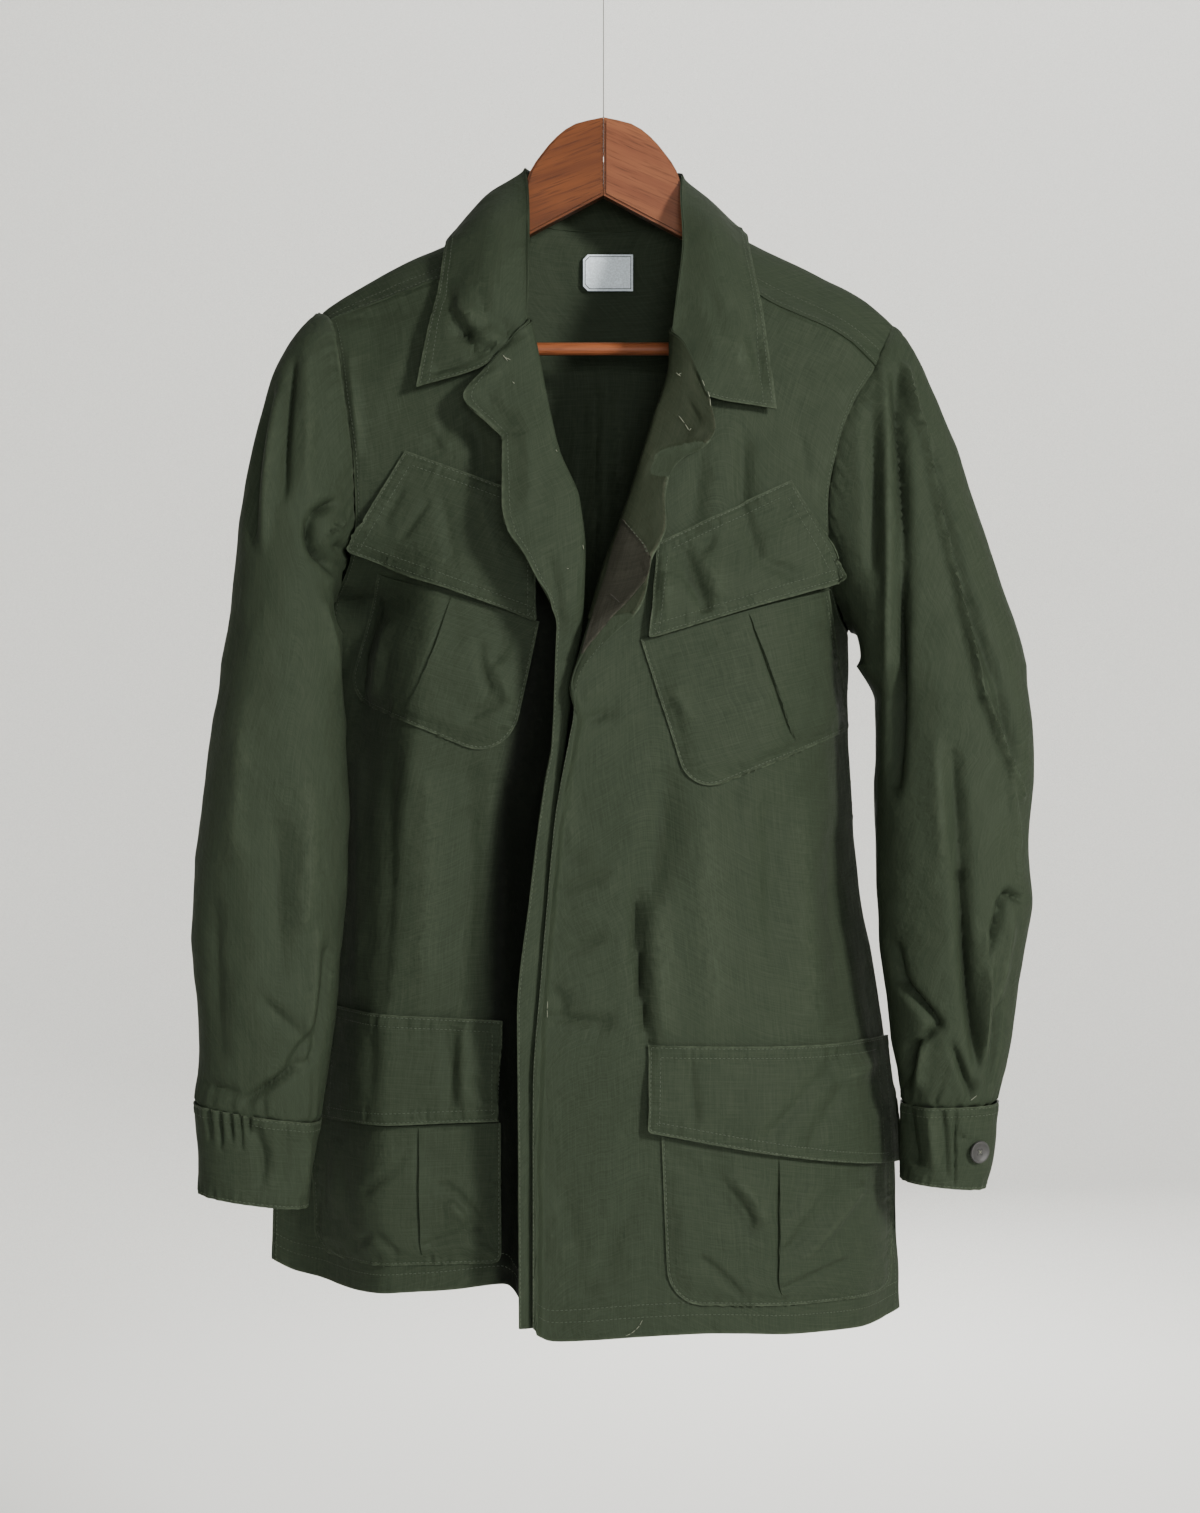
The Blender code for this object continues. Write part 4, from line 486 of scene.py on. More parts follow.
def in_spans(ends, counts):
    """Even steps in each span between the ends: counts says how many."""
    spans = [np.linspace(low, high, count + 1)[1:] for low, high, count in zip(ends, ends[1:], counts)]
    return np.concatenate([[ends[0]]] + spans)


def nearest(values, target):
    """The place of the value that is closest to the target."""
    return int(np.abs(values - target).argmin())


def armhole(side, around):
    """Points of the closed armhole line."""
    rows = list(side["armhole"])
    before = [(row[0] - 1,) + row[1:] for row in rows[-3:]]
    after = [(row[0] + 1,) + row[1:] for row in rows[:3]]
    return along(before + rows + after, np.asarray(around, float) % 1)


def side_line(side, down, back=False):
    """x and y of a panel's outer line: the armhole's front or back half, then the side seam."""
    around = np.linspace(0.5, 1, 60) if back else np.linspace(side["seam_around"], 0.5, 60)
    hole = armhole(side, np.minimum(around, 0.99999))
    order = np.argsort(-hole[:, 2])
    seam = along(side["side"], down)
    under = side["side"][0][0]
    upper = read_at(down, -hole[order, 2], hole[order, :2])
    return np.where((down < under)[:, None], upper, seam)


def front(name, share, down):
    """Points on a front's outside, `share` of its width from the side and `down` from the origin."""
    side = SIDES[name]
    outer, valley = side_line(side, down), along(side["valley"], down)
    roll, edge = along(side["roll"], down), along(side["edge"], down)
    chest_x = outer[:, 0] + (valley[:, 0] - outer[:, 0]) * CHEST_AT
    chest = np.stack([chest_x, along(side["chest"], down)[:, 0]], axis=1)
    flank = np.stack([outer[:, 0] + (valley[:, 0] - outer[:, 0]) * FLANK_AT,
                      outer[:, 1] + (chest[:, 1] - outer[:, 1]) * side["flank_share"]], axis=1)
    turned = np.abs(edge[:, 0] - roll[:, 0])
    aside = side["sign"] * np.clip(turned * 0.3, 0.004, UNDER_ROLL)
    under = roll + np.stack([aside, 0 * turned + UNDER_ROLL], axis=1)
    over = roll + (edge - roll) * np.array([0.3, 0.7])
    flat = follow(FRONT_KEYS, np.stack([outer, flank, chest, valley, under, roll, over, edge]), share)
    return np.column_stack([flat, -down])


def back(share, down):
    """Points on the back's outside, with soft folds that deepen toward the hem."""
    right, left = side_line(RIGHT, down, True), side_line(LEFT, down, True)
    bulge = 1 - np.abs(2 * share - 1) ** 4
    edge_y = right[:, 1] + (left[:, 1] - right[:, 1]) * share
    fold = BACK_FOLD * np.clip((down - 0.2) / 0.5, 0, 1) * np.sin(share * BACK_FOLDS * 2 * math.pi) * bulge
    centre = -CENTRE_CREASE * np.exp(-((share - 0.5) / CENTRE_CREASE_WIDE) ** 2)
    centre = centre * np.clip((down - 0.15) / 0.1, 0, 1)
    y = edge_y + (along(BACK_DEPTH, down)[:, 0] - edge_y) * bulge + fold + centre
    return np.column_stack([right[:, 0] + (left[:, 0] - right[:, 0]) * share, y, -down])


def yoke_column(name, c, w):
    """Points down a column of a shoulder: c is 0 at the armhole and 1 at the neck, w runs front to back."""
    side = SIDES[name]
    share = SHOULDER_TO * c
    forward = front(name, np.array([share]), along(side["top"], share)[:, 0])[0]
    ridge = along(side["ridge"], c)[0]
    corner = np.array(NECK_BACK[1 if name == "right" else 5])
    hole = armhole(side, np.array([0.9, 0.82]))
    behind = hole[0] + (corner - hole[0]) * np.array([c, 1 - (1 - c) ** 1.6, c])
    behind[2] = min(behind[2], ridge[2] - 0.018) if c < 0.9 else behind[2]
    back_share = YOKE_SHARE * c if name == "right" else 1 - YOKE_SHARE * c
    seam = back(np.array([back_share]), along(BACK_TOP, back_share)[:, 0])[0]
    return follow((0, YOKE_RIDGE, YOKE_BEHIND, 1), np.stack([forward, ridge, behind, seam]), w)


def yoke_grid(shoulder, neck, front_rows, back_rows):
    """The yoke's points and the cells that are cloth: the neck's place is left out."""
    w = in_spans((0, YOKE_BEHIND, 1), (front_rows, back_rows))
    columns = [yoke_column("right", c, w) for c in np.linspace(0, 1, shoulder + 1)]
    for step in range(1, neck):
        part = step / neck
        edge = follow((0, 0.25, 0.5, 0.75, 1), np.array(NECK_BACK[1:6]), part)[0]
        share = YOKE_SHARE + NECK_SHARE * part
        seam = back(np.array([share]), along(BACK_TOP, share)[:, 0])[0]
        lower = np.clip((w - YOKE_BEHIND) / (1 - YOKE_BEHIND), 0, 1)[:, None]
        bow = np.array([0, 0.004, 0]) * np.sin(lower * math.pi)
        columns.append(edge + (seam - edge) * lower + bow)
    columns += [yoke_column("left", c, w) for c in np.linspace(1, 0, shoulder + 1)]
    grid = np.stack(columns, axis=1)
    keep = np.ones((grid.shape[0] - 1, grid.shape[1] - 1), bool)
    keep[:front_rows, shoulder:shoulder + neck] = False
    return grid, keep


def neck_line():
    """Points of the neck seam, from the right gorge round the back to the left one."""
    halves = []
    for name, side in SIDES.items():
        shares = np.linspace(ROLL_AT, SHOULDER_TO, 7)
        forward = front(name, shares, along(side["top"], shares)[:, 0])
        halves.append(np.concatenate([forward, yoke_column(name, 1, np.linspace(0, YOKE_BEHIND, 7))[1:]]))
    return np.concatenate([halves[0], np.array(NECK_BACK[2:5]), halves[1][::-1]])


def collar_grid(stations, profile):
    """The collar at stations round the neck: profile runs from the neck seam over the fold to its edge."""
    line = neck_line()
    run = run_of(line)
    grid = []
    for part in np.linspace(0, 1, stations + 1):
        seam = read_at(part * run[-1], run, line)
        fold, middle, edge = along(COLLAR, part)[0].reshape(3, 3)
        seam = seam + (fold - seam) * 0.05 + np.array([0, 0, 0.0018])
        outward = (middle - fold) / np.linalg.norm(middle - fold)
        turn = fold + outward * 0.004 - np.array([0, 0, 0.0012])
        inner = fold + (seam - fold) * 0.12
        section = np.stack([seam, seam + (fold - seam) * 0.5, inner, fold, turn, middle, edge])
        grid.append(follow((0, 0.2, 0.34, 0.4, 0.46, 0.72, 1), section, profile))
    return np.stack(grid)


def tube_ring(row, around):
    """A ring of a sleeve or cuff: around is 0 outside, 0.25 in front, 0.5 inside, 0.75 behind."""
    down_out, down_in, x_out, x_in, y_front, y_back = row
    angle = 2 * math.pi * around
    wide, deep = np.cos(angle), np.sin(angle)
    wide = np.sign(wide) * np.abs(wide) ** TUBE_SQUARE
    deep = np.sign(deep) * np.abs(deep) ** TUBE_SQUARE
    x = (x_out + x_in) / 2 + (x_out - x_in) / 2 * wide
    y = (y_front + y_back) / 2 + (y_front - y_back) / 2 * deep
    z = -(down_out + down_in) / 2 - (down_out - down_in) / 2 * wide
    return np.column_stack([x, y, z])


def face_out(grid, inside, around=False, level=False):
    """Unit normals of a grid of points, pointing away from the point `inside`; level ones stay level."""
    if around:
        padded = np.concatenate([grid[:, -1:], grid, grid[:, :1]], axis=1)
        across = padded[:, 2:] - padded[:, :-2]
    else:
        across = np.gradient(grid, axis=1)
    down = np.array([0, 0, -1]) if level else np.gradient(grid, axis=0)
    normal = np.cross(across, down)
    size = np.linalg.norm(normal, axis=2, keepdims=True)
    normal = normal / np.where(size > 1e-12, size, 1)
    outward = (normal * (grid - np.asarray(inside))).sum()
    return normal if outward > 0 else -normal


def spaced(length, step):
    """Shares of a length, about a step apart, with NEAR_EDGE's distances at both ends."""
    start = np.array((0,) + NEAR_EDGE)
    end = length - start[::-1]
    count = max(2, int(round((end[0] - start[-1]) / step)))
    return np.concatenate([start, np.linspace(start[-1], end[0], count + 1)[1:-1], end]) / length


def lumps(points, size, seed):
    """Smooth random heights from -1 to 1 at points, with features of about the given size."""
    flat = points.reshape(-1, 3) / size + (17.3 * seed, 5.1 * seed, 9.7 * seed)
    return np.array([noise.noise(Vector(place)) for place in flat]).reshape(points.shape[:-1])


def fold_height(points, folds):
    """How far a list of rows from FOLDS lifts each point."""
    lift = np.zeros(points.shape[:-1])
    spot = np.stack([points[..., 0], -points[..., 2]], axis=-1)
    t = np.linspace(0, 1, FOLD_POINTS)[:, None]
    for x1, down1, x2, down2, bow, width, height in np.array(folds) / FOLD_UNITS:
        line = (1 - t) * (x1, down1) + t * (x2, down2) + 4 * t * (1 - t) * (bow, 0)
        near = np.all((spot > line.min(axis=0) - 3 * width) & (spot < line.max(axis=0) + 3 * width), axis=-1)
        if not near.any():
            continue
        here, run = spot[near][:, None], np.diff(line, axis=0)
        along_run = np.clip(((here - line[:-1]) * run).sum(axis=2) / (run ** 2).sum(axis=1), 0, 1)
        gap = np.linalg.norm(here - line[:-1] - along_run[..., None] * run, axis=2)
        best = gap.argmin(axis=1)
        each = np.arange(len(best))
        part = (best + along_run[each, best]) / (FOLD_POINTS - 1)
        taper = 0.25 + 0.75 * np.sqrt(np.clip(4 * part * (1 - part), 0, 1))
        lift[near] += FOLD_STRENGTH * height * taper * np.exp(-(gap[each, best] / width) ** 1.7)
    return lift


def lengths(grid, axis):
    """Distance along the grid's rows (axis 1) or columns (axis 0), from the first point."""
    steps = np.linalg.norm(np.diff(grid, axis=axis), axis=2)
    start = np.zeros_like(np.take(steps, [0], axis=axis))
    return np.concatenate([start, np.cumsum(steps, axis=axis)], axis=axis)


def pucker(from_edge, on_edge, seed, height=0.0006, pitch=0.0085, reach=0.007, groove=0.0018):
    """Small uneven ripples beside a row of stitches, with a groove along the seam."""
    turn = 2 * math.pi * on_edge / pitch
    wave = np.sin(turn + seed) + 0.6 * np.sin(1.63 * turn + 2.1 * seed) + 0.4 * np.sin(0.41 * turn + seed)
    uneven = 0.45 + 0.55 * np.sin(0.13 * turn + 3.7 * seed) ** 2
    dip = groove * np.exp(-(from_edge / 0.0022) ** 2)
    return height * wave * uneven * np.exp(-(from_edge / reach)) * np.minimum(1, from_edge / 0.0015) - dip


def soft(points):
    """The slight waviness that worn cotton keeps all over."""
    return 0.0016 * lumps(points, 0.045, 1) + 0.0006 * lumps(points, 0.018, 2)


def smoothstep(x):
    """0 below 0, 1 above 1, smooth between."""
    x = np.clip(x, 0, 1)
    return x * x * (3 - 2 * x)


stitches = {"olive_thread": [], "pale_thread": [], "facing_thread": []}


def sew(points, normals):
    """Lay stitches along a line of points."""
    run = run_of(points)
    for start in np.arange(0, run[-1] - STITCH, PITCH):
        ends = [read_at(at, run, points) for at in (start, start + STITCH)]
        up = read_at(start, run, normals)
        stitches["olive_thread"].append((*ends, up / np.linalg.norm(up), 0.0))


def sew_at(grid, normals, *places):
    """Stitches along each line of a grid that an index picks."""
    for place in places:
        sew(grid[place], normals[place])


def build_stitches():
    """One mesh of small spindles for each kind of thread."""
    for kind, rows in stitches.items():
        verts, faces = [], []
        for start, end, up, proud in rows:
            ahead = (end - start) / np.linalg.norm(end - start)
            side = np.cross(ahead, up)
            base = len(verts)
            lift = up * (proud + THREAD_THICK * 0.2)
            verts.append(start - up * STITCH_SINK)
            for part in (0.22, 0.78):
                middle = start + (end - start) * part + lift
                for across, height in ((1, 0), (0, 1), (-1, 0), (0, -1)):
                    verts.append(middle + (side * across + up * height) * THREAD_THICK / 2)
            verts.append(end - up * STITCH_SINK)
            for k in range(4):
                n = (k + 1) % 4
                faces += [(base, base + 1 + n, base + 1 + k), (base + 9, base + 5 + k, base + 5 + n),
                          (base + 1 + k, base + 1 + n, base + 5 + n, base + 5 + k)]
        mesh = bpy.data.meshes.new("stitches_" + kind)
        mesh.from_pydata([tuple(v) for v in verts], [], faces)
        mesh.shade_smooth()
        add_piece("stitches_" + kind, mesh, MATERIALS[kind])


def add_piece(name, mesh, surface, nodes=()):
    """Add a mesh as a piece of the jacket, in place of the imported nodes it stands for."""
    thing = bpy.data.objects.new(name, mesh)
    bpy.context.scene.collection.objects.link(thing)
    mesh.materials.append(surface)
    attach(thing, "root")
    if nodes:
        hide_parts(*nodes)
    return thing


def shell(name, grid, normals, around, keep, thick, worn):
    """A closed thin cloth whose outer side passes through the grid; its UVs are metres along the weave.

    keep picks the grid's cells that are cloth. worn is how each point's colour is marked, from 1 where it is
    worn pale down to -1 where shade is painted on it."""
    rows, columns = grid.shape[:2]
    if keep is None:
        keep = np.ones((rows - 1, columns if around else columns - 1), bool)
    r, c = np.nonzero(keep)
    after = (c + 1) % columns
    near, far = r * columns, (r + 1) * columns
    quads = np.stack([near + c, far + c, far + after, near + after], 1)
    a, b, d = (grid.reshape(-1, 3)[quads[:, k]] for k in (0, 1, 3))
    facing = (np.cross(b - a, d - a) * normals.reshape(-1, 3)[quads[:, 0]]).sum()
    if facing < 0:
        quads = quads[:, ::-1]
    count = rows * columns
    edges = np.stack([quads, np.roll(quads, -1, axis=1)], axis=2).reshape(-1, 2)
    code = edges[:, 0] * count + edges[:, 1]
    open_edges = edges[~np.isin(edges[:, 1] * count + edges[:, 0], code)]
    start, end = open_edges.T
    rim = np.stack([end, start, start + count, end + count], 1)
    faces = np.concatenate([quads, quads[:, ::-1] + count, rim])
    verts = np.concatenate([grid.reshape(-1, 3), (grid - normals * thick).reshape(-1, 3)])
    used = np.unique(faces)
    number = np.full(len(verts), -1)
    number[used] = np.arange(len(used))
    mesh = bpy.data.meshes.new(name)
    mesh.from_pydata(verts[used].tolist(), [], number[faces].tolist())
    if worn is None:
        worn = np.zeros((rows, columns))
    # The worn attribute: wear above 0, painted shade below 0.
    wear_and_shade = mesh.attributes.new("worn", "FLOAT", "POINT")
    wear_and_shade.data.foreach_set("value", np.clip(np.tile(worn.ravel(), 2), -1, 1)[used].astype(np.float32))
    if around:
        grid = np.concatenate([grid, grid[:, :1]], axis=1)
    weave = np.stack([lengths(grid, 1), lengths(grid, 0)], axis=2)
    spot_row, spot_column = faces % count // columns, faces % count % columns
    if around:
        reach = spot_column.max(axis=1) - spot_column.min(axis=1)
        wraps = (reach > columns / 2)[:, None] & (spot_column == 0)
        spot_column = spot_column + wraps * columns
    layer = mesh.uv_layers.new(name="weave")
    layer.data.foreach_set("uv", weave[spot_row, spot_column].ravel())
    mesh.shade_smooth()
    mesh.set_sharp_from_angle(angle=math.radians(55))
    return mesh


def cloth(name, grid, normals, surface="olive_cotton", node=None,
          around=False, keep=None, thick=CLOTH, worn=None):
    """A piece of cloth in place of its node."""
    mesh = shell(name + "_cloth", grid, normals, around, keep, thick, worn)
    piece = add_piece(name + "_cloth", mesh, MATERIALS[surface], (node or name,))


def level_normals(grid):
    """Outward normals of a front or back, kept level."""
    return face_out(grid, (0, 0.01, -0.45), level=True)


def front_fine(name):
    """A front with its folds: its points, their normals, their shares of its width, and their wear and
    painted shade.
    """
    side = SIDES[name]
    shares = in_spans((0, 0.06, 0.74, 0.94, 1), (10, 79, 24, 7))
    top, hem = along(side["top"], shares)[:, 0], along(side["hem"], shares)[:, 0]
    grid = np.stack([front(name, shares, top + (hem - top) * v) for v in spaced(0.68, 0.0026)])
    normals = level_normals(grid)
    across, down = lengths(grid, 1), lengths(grid, 0)
    narrower = FLY_TURN * smoothstep((down - FLY_FROM) / 0.03) * (name == "left")
    turned = smoothstep((shares - (FACING_FROM + narrower)) / 0.05)
    folds = fold_height(grid, FOLDS[name + "_front"]) * (1 - turned)
    lift = folds + soft(grid) * (1 - 0.6 * turned) - fold_height(grid, FOLDS[name + "_facing"]) * turned
    lift += pucker(across, down, 1.3, groove=0.0009) * (1 - turned)
    lift += pucker(down[-1] - down, across, 2.2, 0.0005, 0.012, groove=0.0)
    lift += pucker(down, across, 0.7, 0.0004, groove=0.0012) * (1 - turned)
    edge = across[:, -1:] - across
    if name == "left":
        lift += pucker(edge, down, 5.2, 0.0004, 0.011, groove=0.0)
    # Painted shade: the right front's valley beside its lapel is darkened in its colour, from 0.26 m down.
    valley = smoothstep((shares - 0.55) / 0.05) * (1 - smoothstep((shares - 0.77) / 0.03))
    painted_shade = 0.95 * valley * smoothstep((-grid[..., 2] - 0.26) / 0.06) * (name == "right")
    open_edge = np.minimum(edge, down[-1] - down)
    worn = wear_and_painted_shade(np.minimum(open_edge, across + 0.0005), folds, painted_shade)
    return grid + normals * lift[..., None], normals, shares, worn


def build_front(name):
    """A front and the facing that shows on its turned edge."""
    right = name == "right"
    grid, normals, shares, worn = front_fine(name)
    cloth(name + "_front", grid, normals, worn=worn)
    hem_up = (lengths(grid, 0)[-1] - lengths(grid, 0)).mean(axis=1)
    hem = [np.s_[nearest(hem_up, height), 1:-1 if right else None] for height in HEM_ROWS]
    sew_at(grid, normals, *hem, np.s_[2:, SEAM_LINE])
    span = slice(nearest(shares, FACING_FROM), None)
    rows = slice(2, None if right else int((-grid[:, -1, 2] < LAPEL_TO).sum()))
    strip, face = (grid - normals * (CLOTH + CLEAR))[rows, span], normals[rows, span]
    across = lengths(strip, 1)
    cloth(name + "_facing", strip, face,
          "olive_cotton" if right else "facing_cotton", thick=FACING_CLOTH,
          worn=wear_and_painted_shade(across[:, -1:] - across, 0 * across))
    inner = strip - face * FACING_CLOTH
    if right:
        sew(inner[:, -3], -face[:, -3])
    else:
        sew_at(grid, normals, np.s_[rows.stop - 6:, -3])
    lapel = cloth_tree(inner)
    for x, down, end_x, end_down in THREAD_ENDS[name]:
        sew_once(on_lapel(lapel, x, down, 0.0004), on_lapel(lapel, end_x, end_down, 0.0007), FRONTWARD)
    if not right:
        build_fly_layer(lapel)
    return grid


def on_lapel(tree, x, down, proud):
    """The place on a lapel seen at x and down, moved out."""
    hit = tree.ray_cast((x, -1, -down), (0, 1, 0))[0]
    if not hit:
        hit = tree.find_nearest((x, -0.1, -down))[0]
    return x, hit[1] - proud, -down


def build_fly_layer(tree):
    """The browner inner layer of the left fly, that shows where the front's edge turns out."""
    shares, steps = spaced(FLY_SIZE[0], 0.0016), spaced(FLY_SIZE[1], 0.002) * (len(FLY_LEFT) - 1)
    left, right = (read_at(steps, np.arange(len(line)), line) for line in (FLY_LEFT, FLY_RIGHT))
    flat = left[:, None] + (right - left)[:, None] * shares[:, None]
    grid = np.array([on_lapel(tree, x, down, FLY_PROUD) for x, down in flat.reshape(-1, 2)])
    grid = grid.reshape(flat.shape[:2] + (3,))
    across, down = lengths(grid, 1), lengths(grid, 0)
    edge = across[:, -1:] - across
    raised = 0.0012 * np.exp(-(edge / 0.006) ** 2)
    grid[..., 1] -= soft(grid) + raised + pucker(edge, down, 3.1, 0.0003, 0.006, groove=0)
    normals = face_out(grid, (0, 0.1, -0.33))
    cloth("left_fly_layer", grid, normals, "fly_cotton", "left_facing",
          thick=FACING_CLOTH, worn=wear_and_painted_shade(edge, 0.0 * edge))
    sewn = slice(1, int(FLY_SEWN * len(grid)))
    sew_at(grid, normals, (sewn, -2), (sewn, -4))
    start, end = (np.array(on_lapel(tree, *BUTTONHOLE[k:k + 2], FLY_PROUD + 0.0012)) for k in (0, 2))
    for shift in (-0.0006, 0.0006):
        for share in np.linspace(0, 1, 9):
            middle = start * (1 - share) + end * share
            sew_once(middle, middle + (-shift, 0, shift), FRONTWARD, "facing_thread")


def build_back():
    """The back, with soft hanging folds."""
    shares = spaced(0.44, 0.0034)
    top, hem = along(BACK_TOP, shares)[:, 0], along(BACK_HEM, shares)[:, 0]
    grid = np.stack([back(shares, top + (hem - top) * v) for v in spaced(0.68, 0.0034)])
    normals = level_normals(grid)
    across, down = lengths(grid, 1), lengths(grid, 0)
    inner = smoothstep(across / 0.03) * smoothstep((across[:, -1:] - across) / 0.03)
    folds = fold_height(grid, FOLDS["back"] + FOLDS["back_outside"]) * inner
    lift = folds + soft(grid)
    lift += pucker(across, down, 1.3) + pucker(across[:, -1:] - across, down, 2.9)
    lift += (pucker(down[-1] - down, across, 2.2, 0.0005, 0.012, groove=0.0)
             + pucker(down, across, 0.7, 0.0003))
    grid = grid + normals * lift[..., None]
    cloth("back", grid, normals, worn=wear_and_painted_shade(down[-1] - down, folds))
    hem_up = (down[-1] - down).mean(axis=1)
    hem = [np.s_[nearest(hem_up, height), 1:-1] for height in HEM_ROWS]
    sew_at(grid, normals, *hem, np.s_[2:, SEAM_LINE], np.s_[2:, -1 - SEAM_LINE])


def build_yoke():
    """The yoke over the shoulders, stitched along its seams in front and behind."""
    shoulder = 30
    grid, keep = yoke_grid(shoulder, 24, 26, 26)
    normals = face_out(grid, (0, 0, -0.4))
    across, down = lengths(grid, 1), lengths(grid, 0)
    lift = 0.6 * soft(grid)
    lift += (pucker(across, down, 1.1, groove=0.0006)
             + pucker(across[:, -1:] - across, down, 1.9, groove=0.0006))
    lift += seam_band(down, across, 4.1, True) + seam_band(down[-1] - down, across, 5.7, True)
    grid = grid + normals * lift[..., None]
    cloth("yoke", grid, normals, keep=keep)
    shoulders = slice(0, shoulder + 1), slice(-1 - shoulder, None)
    sew_at(grid, normals, *((row, columns) for row in (1, 4) for columns in shoulders), -2, -5)


def build_collar():
    """The collar, creased near its points and stitched along its edge."""
    profile = in_spans((0, 0.4, 0.52, 0.86, 1), (11, 5, 11, 8))
    grid = collar_grid(150, profile)
    run = lengths(grid, 0).mean(axis=1)
    places = spaced(run[-1], 0.0042) * run[-1]
    grid = read_at(places, run, grid.reshape(len(run), -1)).reshape((len(places),) + grid.shape[1:])
    lap = (1 - np.clip(profile / 0.12, 0, 1))[None, :, None]
    outward = unit(grid * (1, 1, 0) - (0, -0.01, 0))
    grid = grid + lap * COLLAR_LAP * np.array([0, 0, -1]) - lap * 0.0012 * outward
    normals = face_out(grid, (0, 0, -0.4))
    across, around = lengths(grid, 1), lengths(grid, 0)
    leaf = smoothstep((profile - 0.45) / 0.1)
    folds = fold_height(grid, FOLDS["collar"]) * leaf
    lift = folds + 0.7 * soft(grid) * leaf
    rise, ends = across[:, -1:] - across, np.minimum(around, around[-1] - around)
    edge = np.minimum(rise, ends)
    lift += seam_band(edge, np.where(rise < ends, around, across), 3.3, True) * leaf
    grid = grid + normals * lift[..., None]
    cloth("collar", grid, normals, worn=wear_and_painted_shade(edge, folds) * leaf)
    rise = rise.mean(axis=0)
    rows = [np.s_[2:-2, nearest(rise, inset)] for inset in ROWS_IN]
    flat = int((profile < 0.5).sum())
    sew_at(grid, normals, *rows, np.s_[2, flat:-2], np.s_[-3, flat:-2])


def unit(vectors):
    """The vectors at length one."""
    size = np.linalg.norm(vectors, axis=-1, keepdims=True)
    return vectors / np.where(size > 1e-9, size, 1)


def tube_run(rings):
    """Distances down a tube of rings and round it."""
    return lengths(rings, 0), lengths(np.concatenate([rings, rings[:, :1]], axis=1), 1)[:, :-1]


def tube_folds(rings, normals, before, behind):
    """How far one list of folds lifts a tube in front and another one behind."""
    front_side = smoothstep(-1.6 * normals[..., 1] + 0.1)
    return fold_height(rings, before) * front_side + fold_height(rings, behind) * (1 - front_side)


def build_sleeve(name):
    """A sleeve's tube, its ends tucked under what they are sewn to."""
    rings = sleeve_rings(name)
    normals = face_out(rings, rings.mean(axis=(0, 1)), True)
    folds = tube_folds(rings, normals, FOLDS[name + "_sleeve"], FOLDS[name + "_sleeve_behind"])
    down, around = tube_run(rings)
    lift = soft(rings) + folds
    lift += pucker(down, around, 2.6, 0.0009, 0.011, 0.009, 0.0006)
    lift += pucker(down[-1] - down, around, 1.2, 0.0009, 0.012, 0.014, 0.0002)
    grid = rings + normals * lift[..., None]
    tucked = [grid[row] + unit(grid[row] - grid[inner]) * TUCK - normals[row] * CLOTH * 1.2
              for row, inner in ((0, 1), (-1, -2))]
    grid = np.concatenate([tucked[:1], grid, tucked[1:]])
    doubled = [0, *range(len(rings)), -1]
    cloth(name + "_sleeve", grid, normals[doubled], around=True,
          worn=wear_and_painted_shade(down + 0.0006, folds)[doubled])
    if name == "left":
        own = cloth_tree(grid)
        sew_once(*(on_lapel(own, x, down, 0.0008) for x, down in CUFF_THREAD), FRONTWARD)


def build_cuff(name):
    """A cuff, with its stitches and its button."""
    table, around_at = np.array(SIDES[name]["cuff"]), places_round()
    downs = table[0, 0] + (table[-1, 0] - table[0, 0]) * spaced(0.06, 0.0032)
    grid = np.stack([tube_at(table, down, around_at) for down in downs])
    normals = face_out(grid, grid.mean(axis=(0, 1)), True)
    down, around = tube_run(grid)
    folds = tube_folds(grid, normals, FOLDS[name + "_cuff"], [])
    lift = 0.8 * soft(grid) + folds
    lift += seam_band(down, around, 0.9, True) + seam_band(down[-1] - down, around, 1.9, False)
    grid = grid + normals * lift[..., None]
    cloth(name + "_cuff", grid, normals, around=True,
          worn=wear_and_painted_shade(np.minimum(down, down[-1] - down), folds))
    loop = [*range(TURNS), 0]
    sew_at(grid, normals, *((row, loop) for row in (FIRST_ROW, SECOND_ROW, -1 - FIRST_ROW)))
    at_button = len(grid) // 2, nearest(around_at, SIDES[name]["cuff_button"])
    build_button(name + "_cuff_button", grid[at_button], normals[at_button])


def places_round():
    """Places round a sleeve or cuff, closer together in front."""
    even = np.arange(TURNS) / TURNS
    return even + FRONT_CROWD * np.cos(2 * math.pi * even) / (2 * math.pi)


def tube_at(table, down, around):
    """The ring of a sleeve or cuff at a distance down, from its table."""
    return tube_ring(along(np.column_stack([table[:, 0], table]), down)[0], around)


def sleeve_rings(name):
    """A sleeve's rings, from the armhole to the cuff seam, before its folds."""
    side, around = SIDES[name], places_round()
    hole = armhole(side, around)
    table = np.array(side["sleeve"])
    first = tube_ring(table[0], around)
    behind = np.exp(-((around % 1 - UNDERARM_AT) / UNDERARM_WIDE) ** 2)
    rings = []
    for t in np.arange(CAP_RINGS) / CAP_RINGS:
        sideways = 1 - (1 - t) ** side["cap"][0]
        share = np.array([sideways, sideways, t ** side["cap"][1]])
        bulge = side["sign"] * UNDERARM_BULGE * math.sin(math.pi * t) * behind
        rings.append(hole + (first - hole) * share + bulge[:, None] * (1, 0, 0))
    downs = np.linspace(table[0, 0], table[-1, 0], SLEEVE_RINGS + 1)
    return np.stack(rings + [tube_at(table, down, around) for down in downs])


